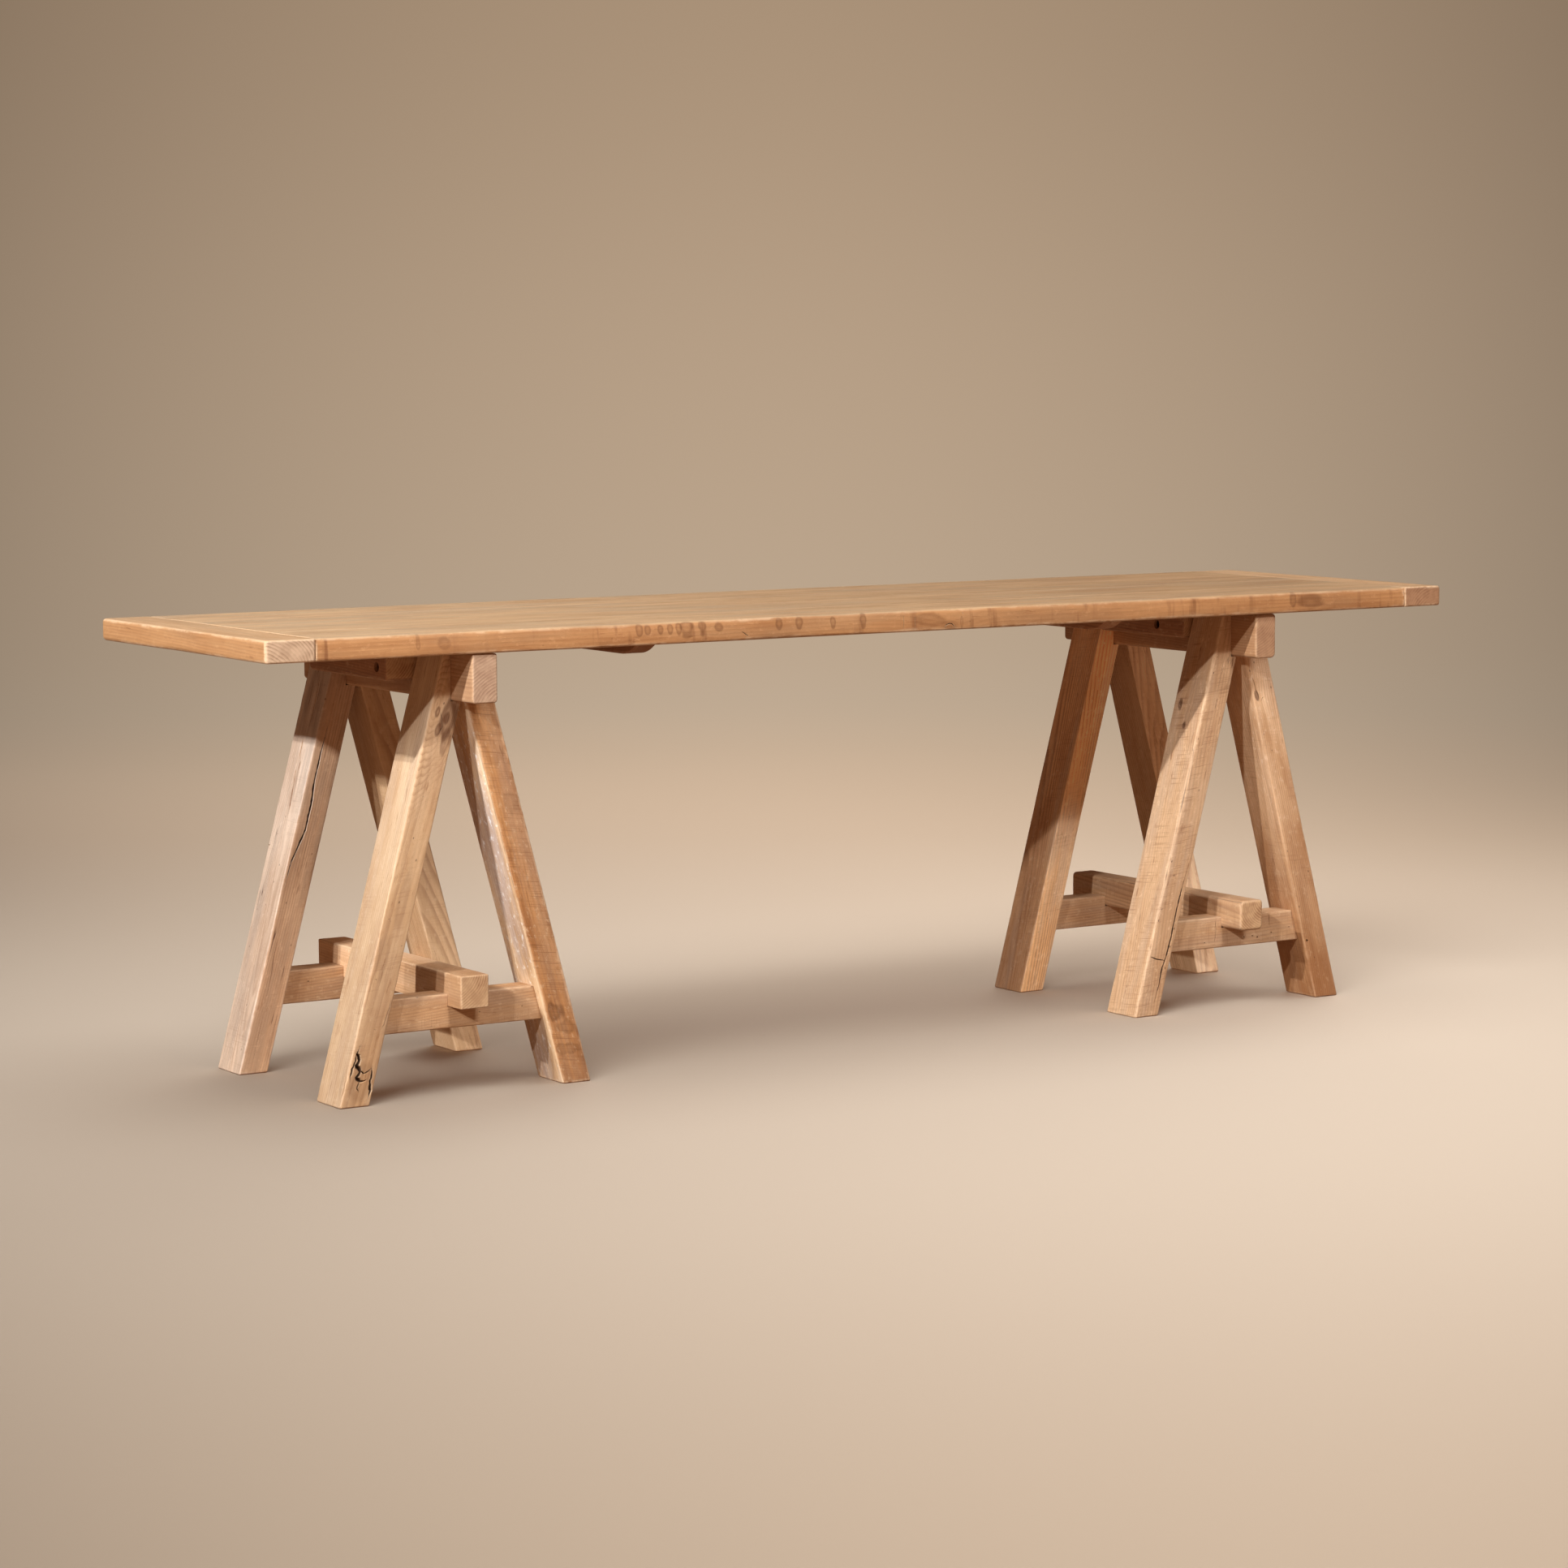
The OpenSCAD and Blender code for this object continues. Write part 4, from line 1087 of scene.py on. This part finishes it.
def make_studio():
    """A round floor whose rim curves up into a dome, so that every side has a background."""
    flat, rise, dome_radius, dome_height = 8.6, 3.4, 12.0, 9.0
    steps, sides = 12, 96
    quarter = [math.radians(90 * k / steps) for k in range(1, steps + 1)]
    profile = [(0.0, 0.0), (4.0, 0.0), (flat, 0.0)]
    profile += [(flat + rise * math.sin(a), rise * (1 - math.cos(a))) for a in quarter]
    profile += [(dome_radius * math.cos(a), rise + dome_height * math.sin(a)) for a in quarter]
    vertices = [(0, 0, 0)]
    for radius, height in profile[1:-1]:
        for k in range(sides):
            turn = 2 * math.pi * k / sides
            vertices.append((radius * math.cos(turn), radius * math.sin(turn), height))
    vertices.append((0, 0, profile[-1][1]))
    faces = [(0, 1 + k, 1 + (k + 1) % sides) for k in range(sides)]
    rings = len(profile) - 2
    for ring in range(rings - 1):
        for k in range(sides):
            a, b = 1 + ring * sides + k, 1 + ring * sides + (k + 1) % sides
            faces.append((a, a + sides, b + sides, b))
    last = 1 + (rings - 1) * sides
    faces += [(last + k, len(vertices) - 1, last + (k + 1) % sides) for k in range(sides)]
    mesh = bpy.data.meshes.new("studio_sweep")
    mesh.from_pydata(vertices, [], faces)
    mesh.polygons.foreach_set("use_smooth", [True] * len(mesh.polygons))
    sweep = bpy.data.objects.new("studio_sweep", mesh)
    stage_group.objects.link(sweep)
    mesh.materials.append(studio_paint())
    sweep.visible_diffuse = False
    sweep.visible_glossy = False
    sweep.visible_shadow = False


def lamp(name, kind, colour, receivers, energy):
    """A light that reaches the objects of one collection."""
    obj = linked(name, bpy.data.lights.new(name, kind))
    obj.data.energy = energy
    obj.data.color = colour
    obj.light_linking.receiver_collection = receivers
    return obj


def sun(name, towards, strength, angle, colour, receivers):
    obj = lamp(name, "SUN", colour, receivers, strength)
    obj.data.angle = math.radians(angle)
    obj.rotation_mode = "QUATERNION"
    obj.rotation_quaternion = Vector(towards).to_track_quat("Z", "Y")


def make_air():
    """Dim warm air, brighter where the lit floor in front throws light back up."""
    world = bpy.data.worlds.new("studio_air")
    world.use_nodes = True
    nodes, links = world.node_tree.nodes, world.node_tree.links
    shade = nodes["Background"]
    shade.inputs["Color"].default_value = (1.0, 0.55, 0.33, 1.0)
    towards = nodes.new("ShaderNodeVectorMath")
    towards.operation = "DOT_PRODUCT"
    towards.inputs[1].default_value = (-0.30, -0.72, -0.62)
    links.new(nodes.new("ShaderNodeTexCoord").outputs["Generated"], towards.inputs[0])
    lobe = nodes.new("ShaderNodeMapRange")
    lobe.interpolation_type = "SMOOTHSTEP"
    for socket, value in zip(list(lobe.inputs)[1:5], (0.1, 1.0, 0.16, 0.38)):
        socket.default_value = value
    links.new(towards.outputs["Value"], lobe.inputs[0])
    links.new(lobe.outputs[0], shade.inputs["Strength"])
    bpy.context.scene.world = world


def make_lights():
    table_group = bpy.data.collections.new("table_pieces")
    bpy.context.scene.collection.children.link(table_group)
    for obj in bpy.data.objects:
        if obj.type == "MESH" and obj.name not in stage_group.objects:
            table_group.objects.link(obj)
    warm = (1.0, 0.965, 0.92)
    sun("key_high", (-1.68, -0.54, 1.0), 1.6, 0.8, warm, table_group)
    sun("front_key", (-1.72, -1.05, 1.0), 1.05, 1.2, warm, table_group)
    sun("front_fill", (-0.05, -0.92, 1.0), 2.0, 14.0, warm, table_group)
    # Near enough to light the left end of the table more than the right one
    near = lamp("key_near", "POINT", warm, table_group, 215.0)
    near.data.shadow_soft_size = 0.025
    near.location = (-3.48, -0.98, 2.01)
    sun("floor_soft", (-0.8, -0.6, 1.0), 1.5, 34.0, (1.0, 1.0, 0.985), stage_group)
    sun("floor_overhead", (0.2, 0.0, 1.0), 1.7, 60.0, (1.0, 0.99, 0.965), stage_group)
    sun("floor_side", (1.0, 1.0, 0.8), 0.85, 44.0, (1.0, 0.975, 0.93), stage_group)
    make_air()


def make_camera():
    data = bpy.data.cameras.new("photo_camera")
    data.lens = LENS
    data.sensor_width = 36.0
    data.clip_end = 100
    camera = linked("photo_camera", data)
    forward = Vector((math.sin(YAW) * math.cos(PITCH), math.cos(YAW) * math.cos(PITCH), math.sin(PITCH)))
    up = ASIDE.cross(forward)
    right = ASIDE * math.cos(ROLL) + up * math.sin(ROLL)
    up = up * math.cos(ROLL) - ASIDE * math.sin(ROLL)
    turn = Matrix((right, up, -forward)).transposed()
    camera.matrix_world = Matrix.Translation(CAMERA) @ turn.to_4x4()
    bpy.context.scene.camera = camera


make_camera()
make_top()
make_under_top()
make_left_horse()
make_right_horse()
finish_cad_nodes()
make_studio()
make_lights()
bpy.context.scene.view_settings.view_transform = "Standard"
